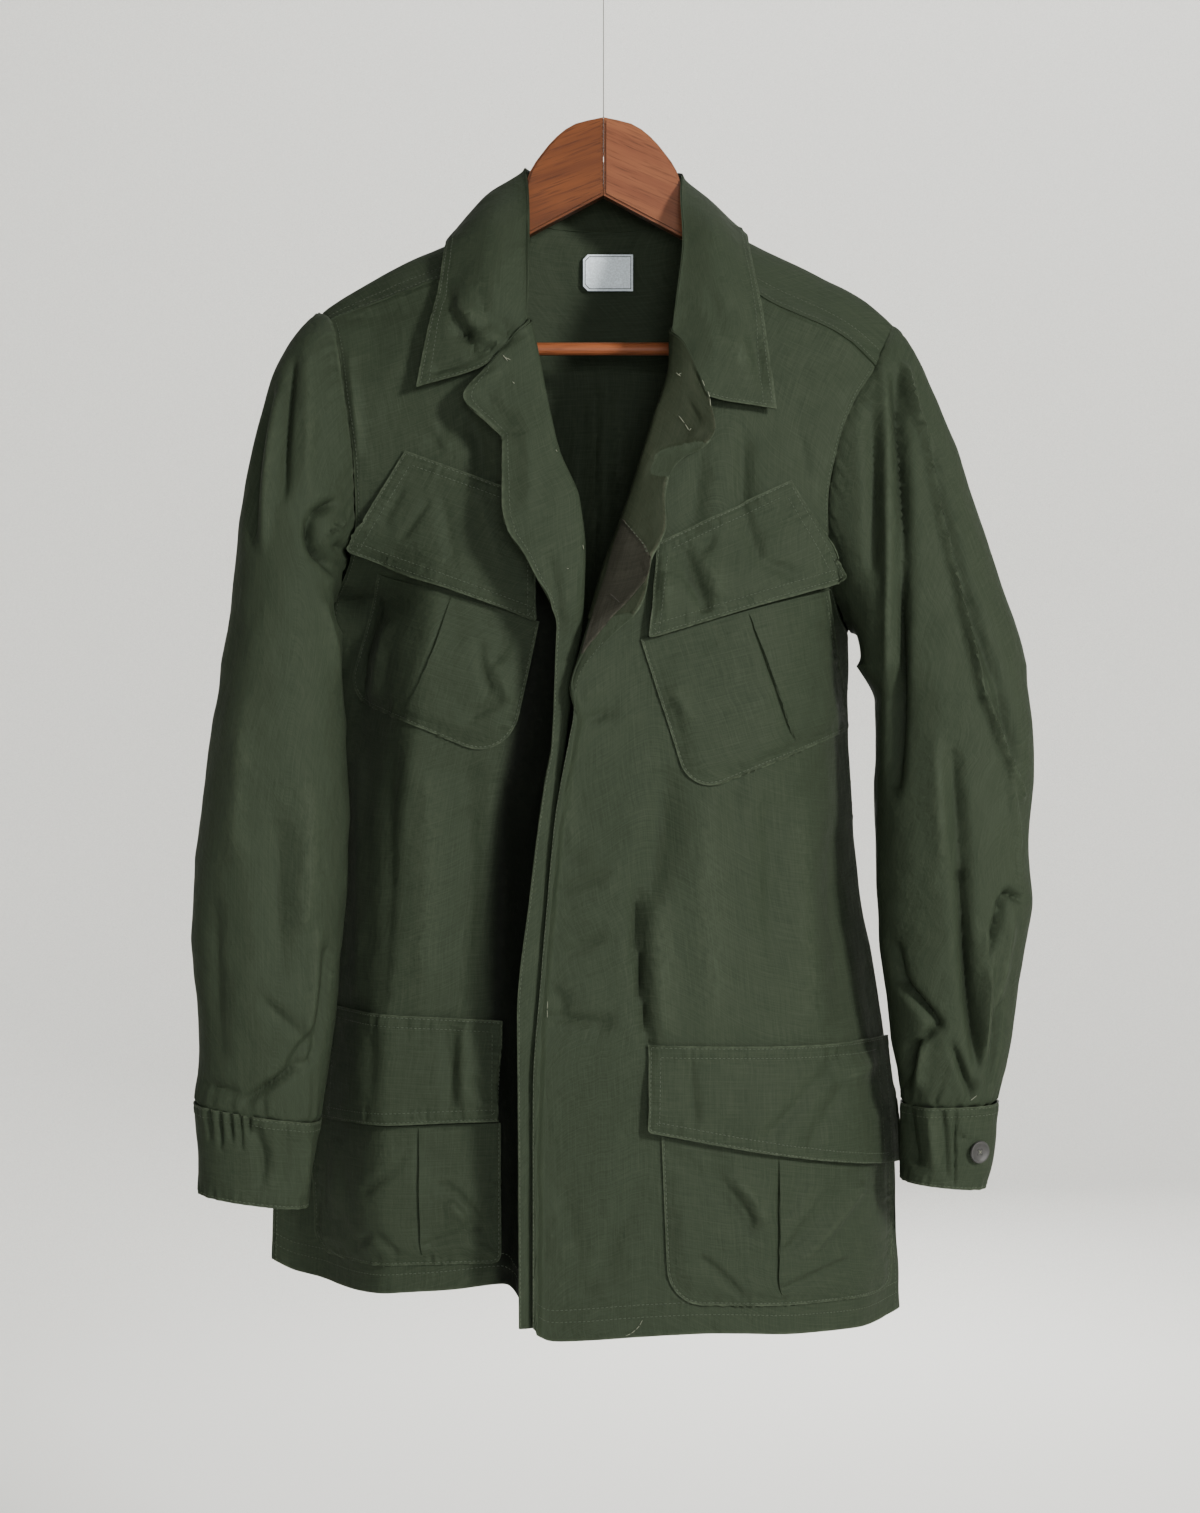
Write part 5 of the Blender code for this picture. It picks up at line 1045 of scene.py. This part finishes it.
def cloth_tree(grid):
    """A search tree of a grid's cells, for finding places on it."""
    rows, columns = grid.shape[:2]
    corner = np.arange(rows * columns).reshape(rows, columns)
    quads = np.stack([corner[:-1, :-1], corner[1:, :-1], corner[1:, 1:], corner[:-1, 1:]], axis=-1)
    return BVHTree.FromPolygons(grid.reshape(-1, 3).tolist(), quads.reshape(-1, 4).tolist())


def patch_size(patch):
    """A pocket's or flap's width along its top and its height."""
    corner = np.array(patch["corners"])
    return np.linalg.norm(corner[1] - corner[0]), np.linalg.norm(corner[3] - corner[0])


def patch_outline(patch, u, v):
    """x and down on a pocket or flap: u runs across it and v down it, within its round lower corners."""
    corner = np.array(patch["corners"])
    wide, tall = patch_size(patch)
    inset = []
    for radius in patch["round"]:
        short = np.clip(radius - (1 - v) * tall, 0, radius)
        inset.append((radius - np.sqrt(radius ** 2 - short ** 2)) / wide)
    across = (inset[0] + u * (1 - inset[0] - inset[1]))[..., None]
    down = v[..., None]
    top = corner[0] + (corner[1] - corner[0]) * across
    low = corner[3] + (corner[2] - corner[3]) * across
    return top + (low - top) * down


def from_line(spots, line):
    """Distance from each flat spot to a line of flat points, and how far along the line that is."""
    run = np.diff(line, axis=0)
    size = np.linalg.norm(run, axis=1)
    start = run_of(line)
    here = spots.reshape(-1, 1, 2) - line[:-1]
    part = np.clip((here * run).sum(axis=2) / size ** 2, 0, 1)
    gap = np.linalg.norm(here - part[..., None] * run, axis=2)
    best = gap.argmin(axis=1)
    each = np.arange(len(best))
    reach = start[best] + part[each, best] * size[best]
    return gap[each, best].reshape(spots.shape[:-1]), reach.reshape(spots.shape[:-1])


def inside_line(line, inset, centre):
    """A line of flat points, moved toward the centre by the inset."""
    run = np.gradient(line, axis=0)
    across = np.stack([-run[:, 1], run[:, 0]], axis=1)
    across /= np.linalg.norm(across, axis=1, keepdims=True)
    middle = len(line) // 2
    if ((centre - line[middle]) * across[middle]).sum() < 0:
        across = -across
    return line + across * inset


def sew_on(tree, line, skip):
    """Stitches along a flat line, but for its two ends, on what the tree holds as seen from the front."""
    run = run_of(line)
    places, normals = [], []
    for x, down in read_at(np.arange(skip, run[-1] - skip, 0.0012), run, line):
        place, normal = tree.ray_cast((x, -1, -down), (0, 1, 0))[:2]
        if place:
            places.append(place)
            normals.append(-normal if normal.y > 0 else normal)
    if len(places) > 4:
        sew(np.array(places), np.array(normals))


def over_edge(depth):
    """Depths of a patch's rows, kept on past the front's edge where no cloth lies behind, and evened."""
    spots = np.arange(depth.shape[1])
    for row in depth:
        known = ~np.isnan(row)
        row[~known] = np.interp(spots[~known], spots[known], row[known])
    even = depth.copy()
    for _ in range(16):
        ring = np.pad(even, 1, mode="edge")
        even = (ring[:-2, 1:-1] + ring[2:, 1:-1] + ring[1:-1, :-2] + ring[1:-1, 2:] + 4 * even) / 8
    return np.minimum(depth, even)


def patch_places(patch):
    """u and v of a pocket's points, crowded beside its pleat, and the u that the pleat slants them to."""
    wide, tall = patch_size(patch)
    u, v = np.meshgrid(spaced(wide, 0.0016), spaced(tall, 0.0018))
    if "pleat" not in patch:
        return u, v, u
    middle = nearest(u[0], 0.5)
    keys = np.concatenate([u[0][:middle - 3], 0.5 + PLEAT_POINTS / wide, u[0][middle + 4:]])
    u, v = np.meshgrid(np.sort(keys), v[:, 0])
    line = patch["pleat"][0] + (patch["pleat"][1] - patch["pleat"][0]) * v
    return u, v, np.where(u < 0.5, u * line / 0.5, 1 - (1 - u) * (1 - line) / 0.5)


def build_patch(name, tree):
    """A pocket or flap on its front, with its pleat, puckers, folds and stitches."""
    patch, flap = PATCHES[name], "flap" in name
    wide, tall = patch_size(patch)
    seed = sum(ord(letter) for letter in name) % 7
    u, v, slanted = patch_places(patch)
    flat = patch_outline(patch, slanted, v)
    hits = [tree.ray_cast((x, -1, -down), (0, 1, 0))[0] for x, down in flat.reshape(-1, 2)]
    depth = over_edge(np.array([hit[1] if hit else math.nan for hit in hits]).reshape(u.shape))
    base = np.stack([flat[..., 0], depth, -flat[..., 1]], axis=-1)
    out = face_out(base, (0, 0.1, -0.45), level=True)
    ends = np.linspace(0, 1, 60)
    sewn = np.concatenate([patch_outline(patch, 0 * ends, ends), patch_outline(patch, ends, 0 * ends + 1)[1:],
                           patch_outline(patch, 0 * ends + 1, 1 - ends)[1:]])
    upper = patch_outline(patch, ends, 0 * ends)
    edge, on_edge = from_line(flat, sewn)
    from_top, on_top = from_line(flat, upper)
    if flap:
        off = 0.0012 + 0.0058 * smoothstep(v * 1.25) + 0.0006 * smoothstep(edge / 0.03)
    else:
        off = 0.0006 + 0.0030 * smoothstep(edge / 0.014) * smoothstep(v * 1.6)
    if "pleat" in patch:
        beside = (u - 0.5) * wide
        part = np.clip((v - PLEAT_ENDS[0]) / (PLEAT_ENDS[1] - PLEAT_ENDS[0]), 0, 1)
        lip = np.where(beside >= 0, 0.0016 * np.exp(-beside / 0.010), -0.0020 * np.exp(beside / 0.0016))
        off = off + np.sin(math.pi * part) ** 0.4 * lip
    corner_gap = np.hypot(np.minimum(u, 1 - u) * wide, np.minimum(v, 1 - v) * tall)
    calm = smoothstep((corner_gap - 0.006) / 0.014)
    off = off + seam_band(edge, on_edge, 1.1 + 0.7 * seed, flap, calm)
    if flap:
        off = off + seam_band(from_top, on_top, 0.6 + seed, True, calm)
    folds = fold_height(base, FOLDS[name])
    off = off + np.maximum(folds, -off * 0.75 + 0.0001) + 0.0004 * lumps(base, 0.02, 4)
    grid = base + out * np.maximum(off + CLOTH, CLOTH + 0.0002)[..., None]
    first, last = patch.get("lift", (0, 0))
    grid[..., 1] -= v ** 2 * (first * (1 - u) ** 5 + last * u ** 5)
    normals = face_out(grid, (0, 0.1, -0.45))
    cloth(name, grid, normals,
          worn=wear_and_painted_shade(np.minimum(edge, from_top) if flap else edge, folds))
    own = cloth_tree(grid)
    middle = patch_outline(patch, np.array([0.5]), np.array([0.5]))[0]
    for inset in (ROWS_IN if flap else ROWS_IN[:1]):
        for line in ((sewn, upper) if flap else (sewn,)):
            sew_on(own, inside_line(line, inset, middle), inset)


def seam_band(gap, run, seed, double, calm=1.0):
    """The relief of a sewn edge: a slightly raised hem, a groove under each row of stitches, and puckers."""
    height, width = (0.00035, 0.0105) if double else (0.0003, 0.0045)
    band = height * smoothstep((width - gap) / 0.002)
    groove = -0.0004 * np.exp(-((gap - ROWS_IN[0]) / 0.0006) ** 2)
    if double:
        groove = groove - 0.0004 * np.exp(-((gap - ROWS_IN[1]) / 0.0006) ** 2)
    turn = 2 * math.pi * run / 0.0074
    wave = np.sin(turn + 1.7 * np.sin(0.21 * turn + seed)) + 0.6 * np.sin(0.63 * turn + 2.1 * seed)
    uneven = 0.25 + 0.75 * np.sin(0.11 * turn + 3.7 * seed) ** 2
    reach = np.exp(-((gap - 0.006) / 0.006) ** 2) if double else np.exp(-((gap - 0.003) / 0.006) ** 2)
    return band + groove + 0.0006 * wave * uneven * reach * calm


def wear_and_painted_shade(edge, folds, painted_shade=0.0):
    """How the cloth's colour is marked: 1 along its worn edges, paler on fold crests, below 0 where shade is
    painted deep in folds.
    """
    wear_and_shade = 0.75 * np.exp(-(edge / 0.0011) ** 2) + 0.2 * np.clip(folds / 0.004, 0, 1)
    # Painted shade: deep folds, and any painted shade handed in, go below 0.
    return wear_and_shade - 0.7 * np.clip((-folds - 0.0055) / 0.008, 0, 1) - painted_shade


def mesh_of(shape, name):
    """A bmesh's finished mesh."""
    mesh = bpy.data.meshes.new(name)
    shape.to_mesh(mesh)
    shape.free()
    return mesh


def circle(shape, radius, height, segments):
    """New points evenly round the Z axis."""
    turns = [2 * math.pi * k / segments for k in range(segments)]
    return [shape.verts.new((radius * math.cos(turn), radius * math.sin(turn), height)) for turn in turns]


def bridge(shape, low, high):
    """Faces between two closed rings of points."""
    for k in range(len(low)):
        n = (k + 1) % len(low)
        shape.faces.new((low[k], low[n], high[n], high[k]))


def lathe(name, profile, centre, axis, segments=32):
    """A turned piece: radius and height pairs spun round an axis."""
    turn = Vector(axis).normalized().to_track_quat("Z", "Y")
    shape = bmesh.new()
    rings = [circle(shape, radius, height, segments) if radius else [shape.verts.new((0, 0, height))]
             for radius, height in profile]
    for low, high in zip(rings, rings[1:]):
        if len(low) == len(high):
            bridge(shape, low, high)
            continue
        for k in range(segments):
            n = (k + 1) % segments
            shape.faces.new((low[0], high[n], high[k]) if len(low) == 1 else (low[k], low[n], high[0]))
    bmesh.ops.recalc_face_normals(shape, faces=shape.faces)
    bmesh.ops.rotate(shape, verts=shape.verts, cent=(0, 0, 0), matrix=turn.to_matrix())
    bmesh.ops.translate(shape, verts=shape.verts, vec=centre)
    mesh = mesh_of(shape, name)
    mesh.shade_smooth()
    mesh.set_sharp_from_angle(angle=math.radians(50))
    return mesh


def build_button(node, place, out):
    """A dished button with four holes, each a dark disc of painted shade, and its crossed thread."""
    r, base, face = BUTTON_RADIUS, 0.0016, 0.0028  # height of its underside and of its sunk middle
    profile = [(0, base), (r * 0.8, base), (r * 0.97, base + 0.0007), (r, base + 0.0014),
               (r * 0.95, base + 0.0022), (r * 0.84, base + 0.0024), (r * 0.76, base + 0.0021),
               (r * 0.66, base + 0.0014), (r * 0.3, face), (0, face)]
    place, out = Vector(place), Vector(out).normalized()
    mesh = lathe(node + "_dished", profile, place, out)
    add_piece(node + "_dished", mesh, MATERIALS["button"], (node,))
    side = out.cross(Vector((0, 0, 1))).normalized()
    up = side.cross(out)
    # The holes are not cut: each is a dark disc on the face, painted shade.
    hole = [(0, 0.00005), (0.00075, 0.00005), (0.00085, 0)]
    spots = [place + (side * across + up * upward) * 0.0016 + out * face
             for across, upward in ((1, 1), (-1, 1), (-1, -1), (1, -1))]
    for number, spot in enumerate(spots, 1):
        mesh = lathe(node + "_hole", hole, spot, out, 12)
        add_piece("%s_hole_%d" % (node, number), mesh, MATERIALS["shade_and_print"], ())
    for a, b in ((0, 2), (1, 3)):
        sew_once(spots[a], spots[b], out)


def sew_once(start, end, up, kind="pale_thread"):
    """One long stitch, standing a little proud."""
    up = np.array(up, float)
    stitches[kind].append((np.array(start) + up * 0.0002, np.array(end) + up * 0.0002, up, 0.0003))


def build_label():
    """The white neck label: a woven tape with clipped left corners and a thin dark line inside its edge."""
    low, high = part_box("label")
    left, right, bottom, top = low[0], high[0], low[2], high[2]
    slope = (high[1] - low[1] - 0.0007) / (top - bottom)

    def ring(shape, inset, clip, proud):
        """New points round the label's outline, moved in from its edge and out from its face."""
        l, r, b, t = left + inset, right - inset, bottom + inset, top - inset
        spots = [(l + clip, t), (r, t), (r, b), (l + clip, b), (l, b + clip), (l, t - clip)]
        return [shape.verts.new((x, low[1] + (top - z) * slope - proud, z)) for x, z in spots]

    shape = bmesh.new()
    steps = (0, 0), (0.0002, 0.0005), (0.0013, 0.0006)
    rings = [ring(shape, inset, 0.0035, proud) for inset, proud in steps]
    for outer, inner in zip(rings, rings[1:]):
        bridge(shape, outer, inner)
    shape.faces.new(rings[-1])
    bmesh.ops.recalc_face_normals(shape, faces=shape.faces)
    mesh = mesh_of(shape, "label_tape")
    add_piece("label_tape", mesh, MATERIALS["label_white"], ("label",))
    shape = bmesh.new()
    bridge(shape, ring(shape, 0.0014, 0.0033, 0.00075), ring(shape, 0.0019, 0.0031, 0.00075))
    add_piece("label_line", mesh_of(shape, "label_line"), MATERIALS["shade_and_print"], ())


def build_thread():
    """The taut thread from the hanger's top to its loop."""
    low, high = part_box("hang_cord")
    points = [(0, 0, z) for z in np.linspace(low[2], high[2], 34)]
    curve = bpy.data.curves.new("hang_thread", "CURVE")
    curve.dimensions = "3D"
    curve.bevel_depth = HANG_RADIUS
    curve.bevel_resolution = 3
    curve.use_fill_caps = True
    spline = curve.splines.new("POLY")
    spline.points.add(len(points) - 1)
    for point, place in zip(spline.points, points):
        point.co = (*place, 1)
    curve.materials.append(MATERIALS["thread"])
    thing = bpy.data.objects.new("hang_thread", curve)
    bpy.context.scene.collection.objects.link(thing)
    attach(thing, "root")
    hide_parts("hang_cord")


def build_joint():
    """A near-black sheet between the hanger's halves, painted shade of their dark joint; open where light
    shows through.
    """
    right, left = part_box("hanger_right"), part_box("hanger_left")
    wide = left[0][0] - right[1][0] - 0.00006
    middle = (left[0][0] + right[1][0]) / 2
    shape = bmesh.new()
    for top, bottom in JOINT_CLOSED:
        made = bmesh.ops.create_cube(shape, size=1)["verts"]
        depth = right[1][1] - right[0][1] - 2 * JOINT_INSET
        bmesh.ops.scale(shape, verts=made, vec=(wide, depth, bottom - top))
        place = middle, (right[0][1] + right[1][1]) / 2, -(top + bottom) / 2
        bmesh.ops.translate(shape, verts=made, vec=place)
    # Painted shade: the dark sheets stand where the joint looks dark.
    add_piece("hanger_joint_shade", mesh_of(shape, "hanger_joint_shade"), MATERIALS["shade_and_print"])


class Nodes:
    """A material's node tree, with short ways to add and join nodes."""

    def __init__(self, name):
        self.material = bpy.data.materials.new(name)
        self.material.use_nodes = True
        self.tree = self.material.node_tree
        self.shader = self.tree.nodes["Principled BSDF"]

    def add(self, kind, inputs=(), **settings):
        node = self.tree.nodes.new(kind)
        for key, value in settings.items():
            setattr(node, key, value)
        for key, value in dict(inputs).items():
            self.put(value, node.inputs[key])
        return node

    def put(self, value, socket):
        if isinstance(value, bpy.types.NodeSocket):
            self.tree.links.new(value, socket)
        else:
            socket.default_value = value

    def math(self, kind, a, b=0.0):
        return self.add("ShaderNodeMath", {0: a, 1: b}, operation=kind).outputs[0]

    def mix(self, factor, a, b):
        node = self.add("ShaderNodeMix", data_type="RGBA")
        self.put(factor, node.inputs[0])
        self.put(a, node.inputs[6])
        self.put(b, node.inputs[7])
        return node.outputs[2]

    def ramp(self, value, low, high):
        """0 below low, 1 above high."""
        node = self.add("ShaderNodeMapRange", {"Value": value, "From Min": low, "From Max": high})
        return node.outputs[0]

    def noise(self, place, scale, detail=3.0, rough=0.55):
        inputs = {"Vector": place, "Scale": scale, "Detail": detail, "Roughness": rough}
        return self.add("ShaderNodeTexNoise", inputs).outputs["Fac"]

    def stretch(self, place, *scale):
        return self.add("ShaderNodeMapping", {"Vector": place, "Scale": scale}).outputs[0]

    def bump(self, height, strength, distance, normal=None):
        inputs = {"Height": height, "Strength": strength, "Distance": distance}
        if normal is not None:
            inputs["Normal"] = normal
        return self.add("ShaderNodeBump", inputs).outputs[0]

    def finish(self, tone, **inputs):
        """Give the shader its colour and other inputs, and hand back the material."""
        self.put(tone, self.shader.inputs["Base Color"])
        for key, value in inputs.items():
            self.put(value, self.shader.inputs[key.replace("_", " ")])
        return self.material


def shade(colour, share):
    """A darker colour."""
    return tuple(c * share for c in colour[:3]) + (1,)


def cotton(name, colour, worn, faded):
    """Poplin with a faint grid of thicker threads, unevenly washed, paler where it rubs, darker with painted
    shade.
    """
    nodes = Nodes(name)
    body = nodes.add("ShaderNodeTexCoord").outputs["Object"]
    weave = nodes.add("ShaderNodeUVMap", uv_map="weave").outputs[0]
    split = nodes.add("ShaderNodeSeparateXYZ", {0: weave})
    # Above 0 the cloth is worn pale; below 0 shade is painted on it.
    wear_and_shade = nodes.add("ShaderNodeAttribute", attribute_name="worn").outputs["Fac"]
    blotch = nodes.ramp(nodes.noise(body, 7.0, 4.0), 0.3, 0.7)
    tone = nodes.mix(nodes.math("MULTIPLY", blotch, BLOTCH_TONE), colour, faded)
    weft, warp = nodes.stretch(weave, 40.0, 1100.0, 1.0), nodes.stretch(weave, 1100.0, 40.0, 1.0)
    threads = nodes.math("ADD", nodes.noise(weft, 1.0, 2.0), nodes.noise(warp, 1.0, 2.0))
    tone = nodes.mix(nodes.math("MULTIPLY", nodes.ramp(threads, 0.8, 1.35), THREAD_TONE), tone, worn)
    lines = []
    for axis in (0, 1):
        cell = nodes.math("FRACT", nodes.math("MULTIPLY", split.outputs[axis], 1 / RIPSTOP))
        lines.append(nodes.math("LESS_THAN", cell, 0.1))
    grid = nodes.math("MAXIMUM", *lines)
    tone = nodes.mix(nodes.math("MULTIPLY", grid, GRID_TONE), tone, worn)
    scuffs = nodes.ramp(nodes.noise(body, 220.0, 4.0, 0.7), 0.35, 0.65)
    tone = nodes.mix(nodes.math("MULTIPLY", wear_and_shade, scuffs), tone, worn)
    # Painted shade: below 0 the attribute darkens the colour toward a small share of itself.
    tone = nodes.mix(nodes.math("MULTIPLY", wear_and_shade, -1.0), tone, shade(colour, PAINTED_SHADE_TONE))
    crumple = nodes.noise(body, 42.0, 4.0, 0.55)
    wander = nodes.math("ABSOLUTE", nodes.math("SUBTRACT", nodes.noise(body, 13.0, 2.0, 0.5), 0.5))
    crease = nodes.math("SUBTRACT", 1.0, nodes.ramp(wander, 0.0, 0.035))
    depth = nodes.math("MULTIPLY", crease, nodes.ramp(nodes.noise(body, 6.0, 1.0), 0.42, 0.62))
    normal = nodes.bump(crumple, 0.9, 0.0026)
    normal = nodes.bump(nodes.noise(body, 150.0, 3.0, 0.6), 0.5, 0.0009, normal)
    normal = nodes.bump(depth, -0.6, 0.0013, normal)
    normal = nodes.bump(nodes.math("ADD", nodes.math("MULTIPLY", grid, 0.4), threads), 0.3, 0.0002, normal)
    return nodes.finish(tone, Roughness=0.72, Specular_IOR_Level=0.06, Normal=normal)


def timber(name, light, dark, turn):
    """Reddish hardwood with fine pores along a slanted grain, under thin lacquer; its edges painted darker as
    shade.
    """
    nodes = Nodes(name)
    body = nodes.add("ShaderNodeTexCoord").outputs["Object"]
    place = nodes.add("ShaderNodeMapping", {"Vector": body, "Rotation": (0, turn, 0)}).outputs[0]
    figure = nodes.ramp(nodes.noise(nodes.stretch(place, 6.0, 60.0, 90.0), 1.0, 4.0, 0.6), 0.3, 0.7)
    pore = nodes.ramp(nodes.noise(nodes.stretch(place, 45.0, 500.0, 900.0), 1.0, 2.0), 0.52, 0.72)
    tone, deepest = nodes.mix(figure, dark, light), shade(dark, 0.3)
    tone = nodes.mix(nodes.math("MULTIPLY", pore, 0.6), tone, deepest)
    # Painted shade: faces that turn away from front and back, the hanger's edges, go darker.
    outward = nodes.add("ShaderNodeNewGeometry").outputs["True Normal"]
    facing = nodes.add("ShaderNodeSeparateXYZ", {0: outward})
    flat = nodes.math("ABSOLUTE", facing.outputs[1])
    tone = nodes.mix(nodes.math("SUBTRACT", 0.8, nodes.math("MULTIPLY", flat, 0.8)), tone, deepest)
    return nodes.finish(tone, Roughness=0.42, Specular_IOR_Level=0.14, Normal=nodes.bump(pore, -0.3, 0.0002))


def plain(name, colour, rough, bump=0.0):
    """A plain surface with a little speckle and relief."""
    nodes = Nodes(name)
    body = nodes.add("ShaderNodeTexCoord").outputs["Object"]
    speck = nodes.noise(body, 900.0, 3.0)
    relief = {"Normal": nodes.bump(speck, bump, 0.0003)} if bump else {}
    tone = nodes.mix(nodes.ramp(speck, 0.35, 0.7), shade(colour, 0.7), colour)
    return nodes.finish(tone, Roughness=rough, **relief)


def build_materials():
    """Every surface of the jacket and its hanger."""
    return {
        "olive_cotton": cotton("olive_cotton_worn", OLIVE, OLIVE_WORN, OLIVE_FADED),
        "facing_cotton": cotton("facing_cotton_worn", FACING, FACING_WORN, FACING_FADED),
        "olive_thread": plain("olive_thread", (0.034, 0.044, 0.026, 1), 0.8),
        "fly_cotton": cotton("fly_cotton_worn", FLY, FLY_WORN, FLY),
        "facing_thread": plain("facing_thread", (0.018, 0.016, 0.012, 1), 0.8),
        "pale_thread": plain("pale_thread", (0.16, 0.17, 0.125, 1), 0.8),
        "button": plain("button_horn", (0.017, 0.0165, 0.0155, 1), 0.6, 0.15),
        # Near black: painted shade in the button holes and the hanger joint, and the label's printed line.
        "shade_and_print": plain("dark_line", (0.012, 0.012, 0.012, 1), 0.9),
        "label_white": plain("label_woven", (0.62, 0.69, 0.73, 1), 0.8, 0.4),
        "thread": plain("hang_thread_twist", (0.06, 0.055, 0.045, 1), 0.8),
        # The halves differ in colour as painted light: the left half's lighter, paler wood is a lit copy with
        # painted sheen, the right half's darker wood a shaded copy.
        "wood_right": timber("wood_right", (0.102, 0.030, 0.0068, 1), (0.056, 0.015, 0.0034, 1), 0.35),
        "wood_left": timber("wood_left", (0.150, 0.053, 0.021, 1), (0.095, 0.029, 0.012, 1), -0.42),
        "wood_bar": timber("wood_bar", (0.230, 0.072, 0.026, 1), (0.12, 0.034, 0.013, 1), 0.0),
    }


def build_stage():
    """A pale round floor that sweeps up to a wall on every side, the world and the four lights."""
    bend = [(WALL_AWAY - SWEEP + SWEEP * math.sin(a), FLOOR + SWEEP - SWEEP * math.cos(a))
            for a in np.linspace(0.0, math.pi / 2, 14)]
    shape = bmesh.new()
    rings = [circle(shape, r, z, 96) for r, z in [(FLOOR_FLAT, FLOOR)] + bend + [(WALL_AWAY, WALL_TOP)]]
    shape.faces.new(rings[0])
    for low, high in zip(rings, rings[1:]):
        bridge(shape, low, high)
    bmesh.ops.recalc_face_normals(shape, faces=shape.faces)
    mesh = mesh_of(shape, "studio_floor")
    mesh.shade_smooth()
    floor = bpy.data.objects.new("studio_floor", mesh)
    bpy.context.scene.collection.objects.link(floor)
    mesh.materials.append(plain("studio_paint", (0.88, 0.875, 0.845, 1), 0.9))
    world = bpy.data.worlds.new("studio")
    world.use_nodes = True
    sky = world.node_tree.nodes["Background"]
    sky.inputs["Color"].default_value = (0.93, 0.96, 1.0, 1)
    sky.inputs["Strength"].default_value = WORLD_STRENGTH
    bpy.context.scene.world = world
    for name, place, aim, size, power, tint in LIGHTS:
        lamp = bpy.data.lights.new(name, "AREA")
        lamp.shape, lamp.size, lamp.energy, lamp.color = "DISK", size, power, tint
        holder = bpy.data.objects.new(name, lamp)
        holder.location = place
        holder.rotation_euler = (Vector(aim) - Vector(place)).to_track_quat("-Z", "Y").to_euler()
        bpy.context.scene.collection.objects.link(holder)


def build_camera():
    """The photograph's level camera."""
    lens = bpy.data.cameras.new("camera")
    lens.sensor_width = 36
    lens.lens = 36 * CAMERA_AWAY / (1513 * METRES_PER_PIXEL)
    holder = bpy.data.objects.new("camera", lens)
    holder.location = (CAMERA_X, -CAMERA_AWAY, CAMERA_Z)
    holder.rotation_euler = (math.pi / 2, 0, 0)
    bpy.context.scene.collection.objects.link(holder)
    bpy.context.scene.camera = holder


build_camera()
MATERIALS = build_materials()
build_thread()
build_stage()
for part_name, surface in dict(hanger_right="wood_right", hanger_left="wood_left", hanger_bar="wood_bar",
                               hang_loop="thread").items():
    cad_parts[part_name].material_slots[0].material = MATERIALS[surface]
trees = {part_name: cloth_tree(build_front(part_name)[:, :FLAT_COLUMNS]) for part_name in SIDES}
for part_name, details in PATCHES.items():
    build_patch(part_name, trees[details["side"]])
for thread in LOOSE_THREADS:
    for low, high in zip(thread, thread[1:]):
        sew_once(on_lapel(trees["left"], *low, 0.0004), on_lapel(trees["left"], *high, 0.0004), FRONTWARD)
build_back()
build_yoke()
build_collar()
for part_name in SIDES:
    build_sleeve(part_name)
    build_cuff(part_name)
build_label()
build_joint()
build_stitches()
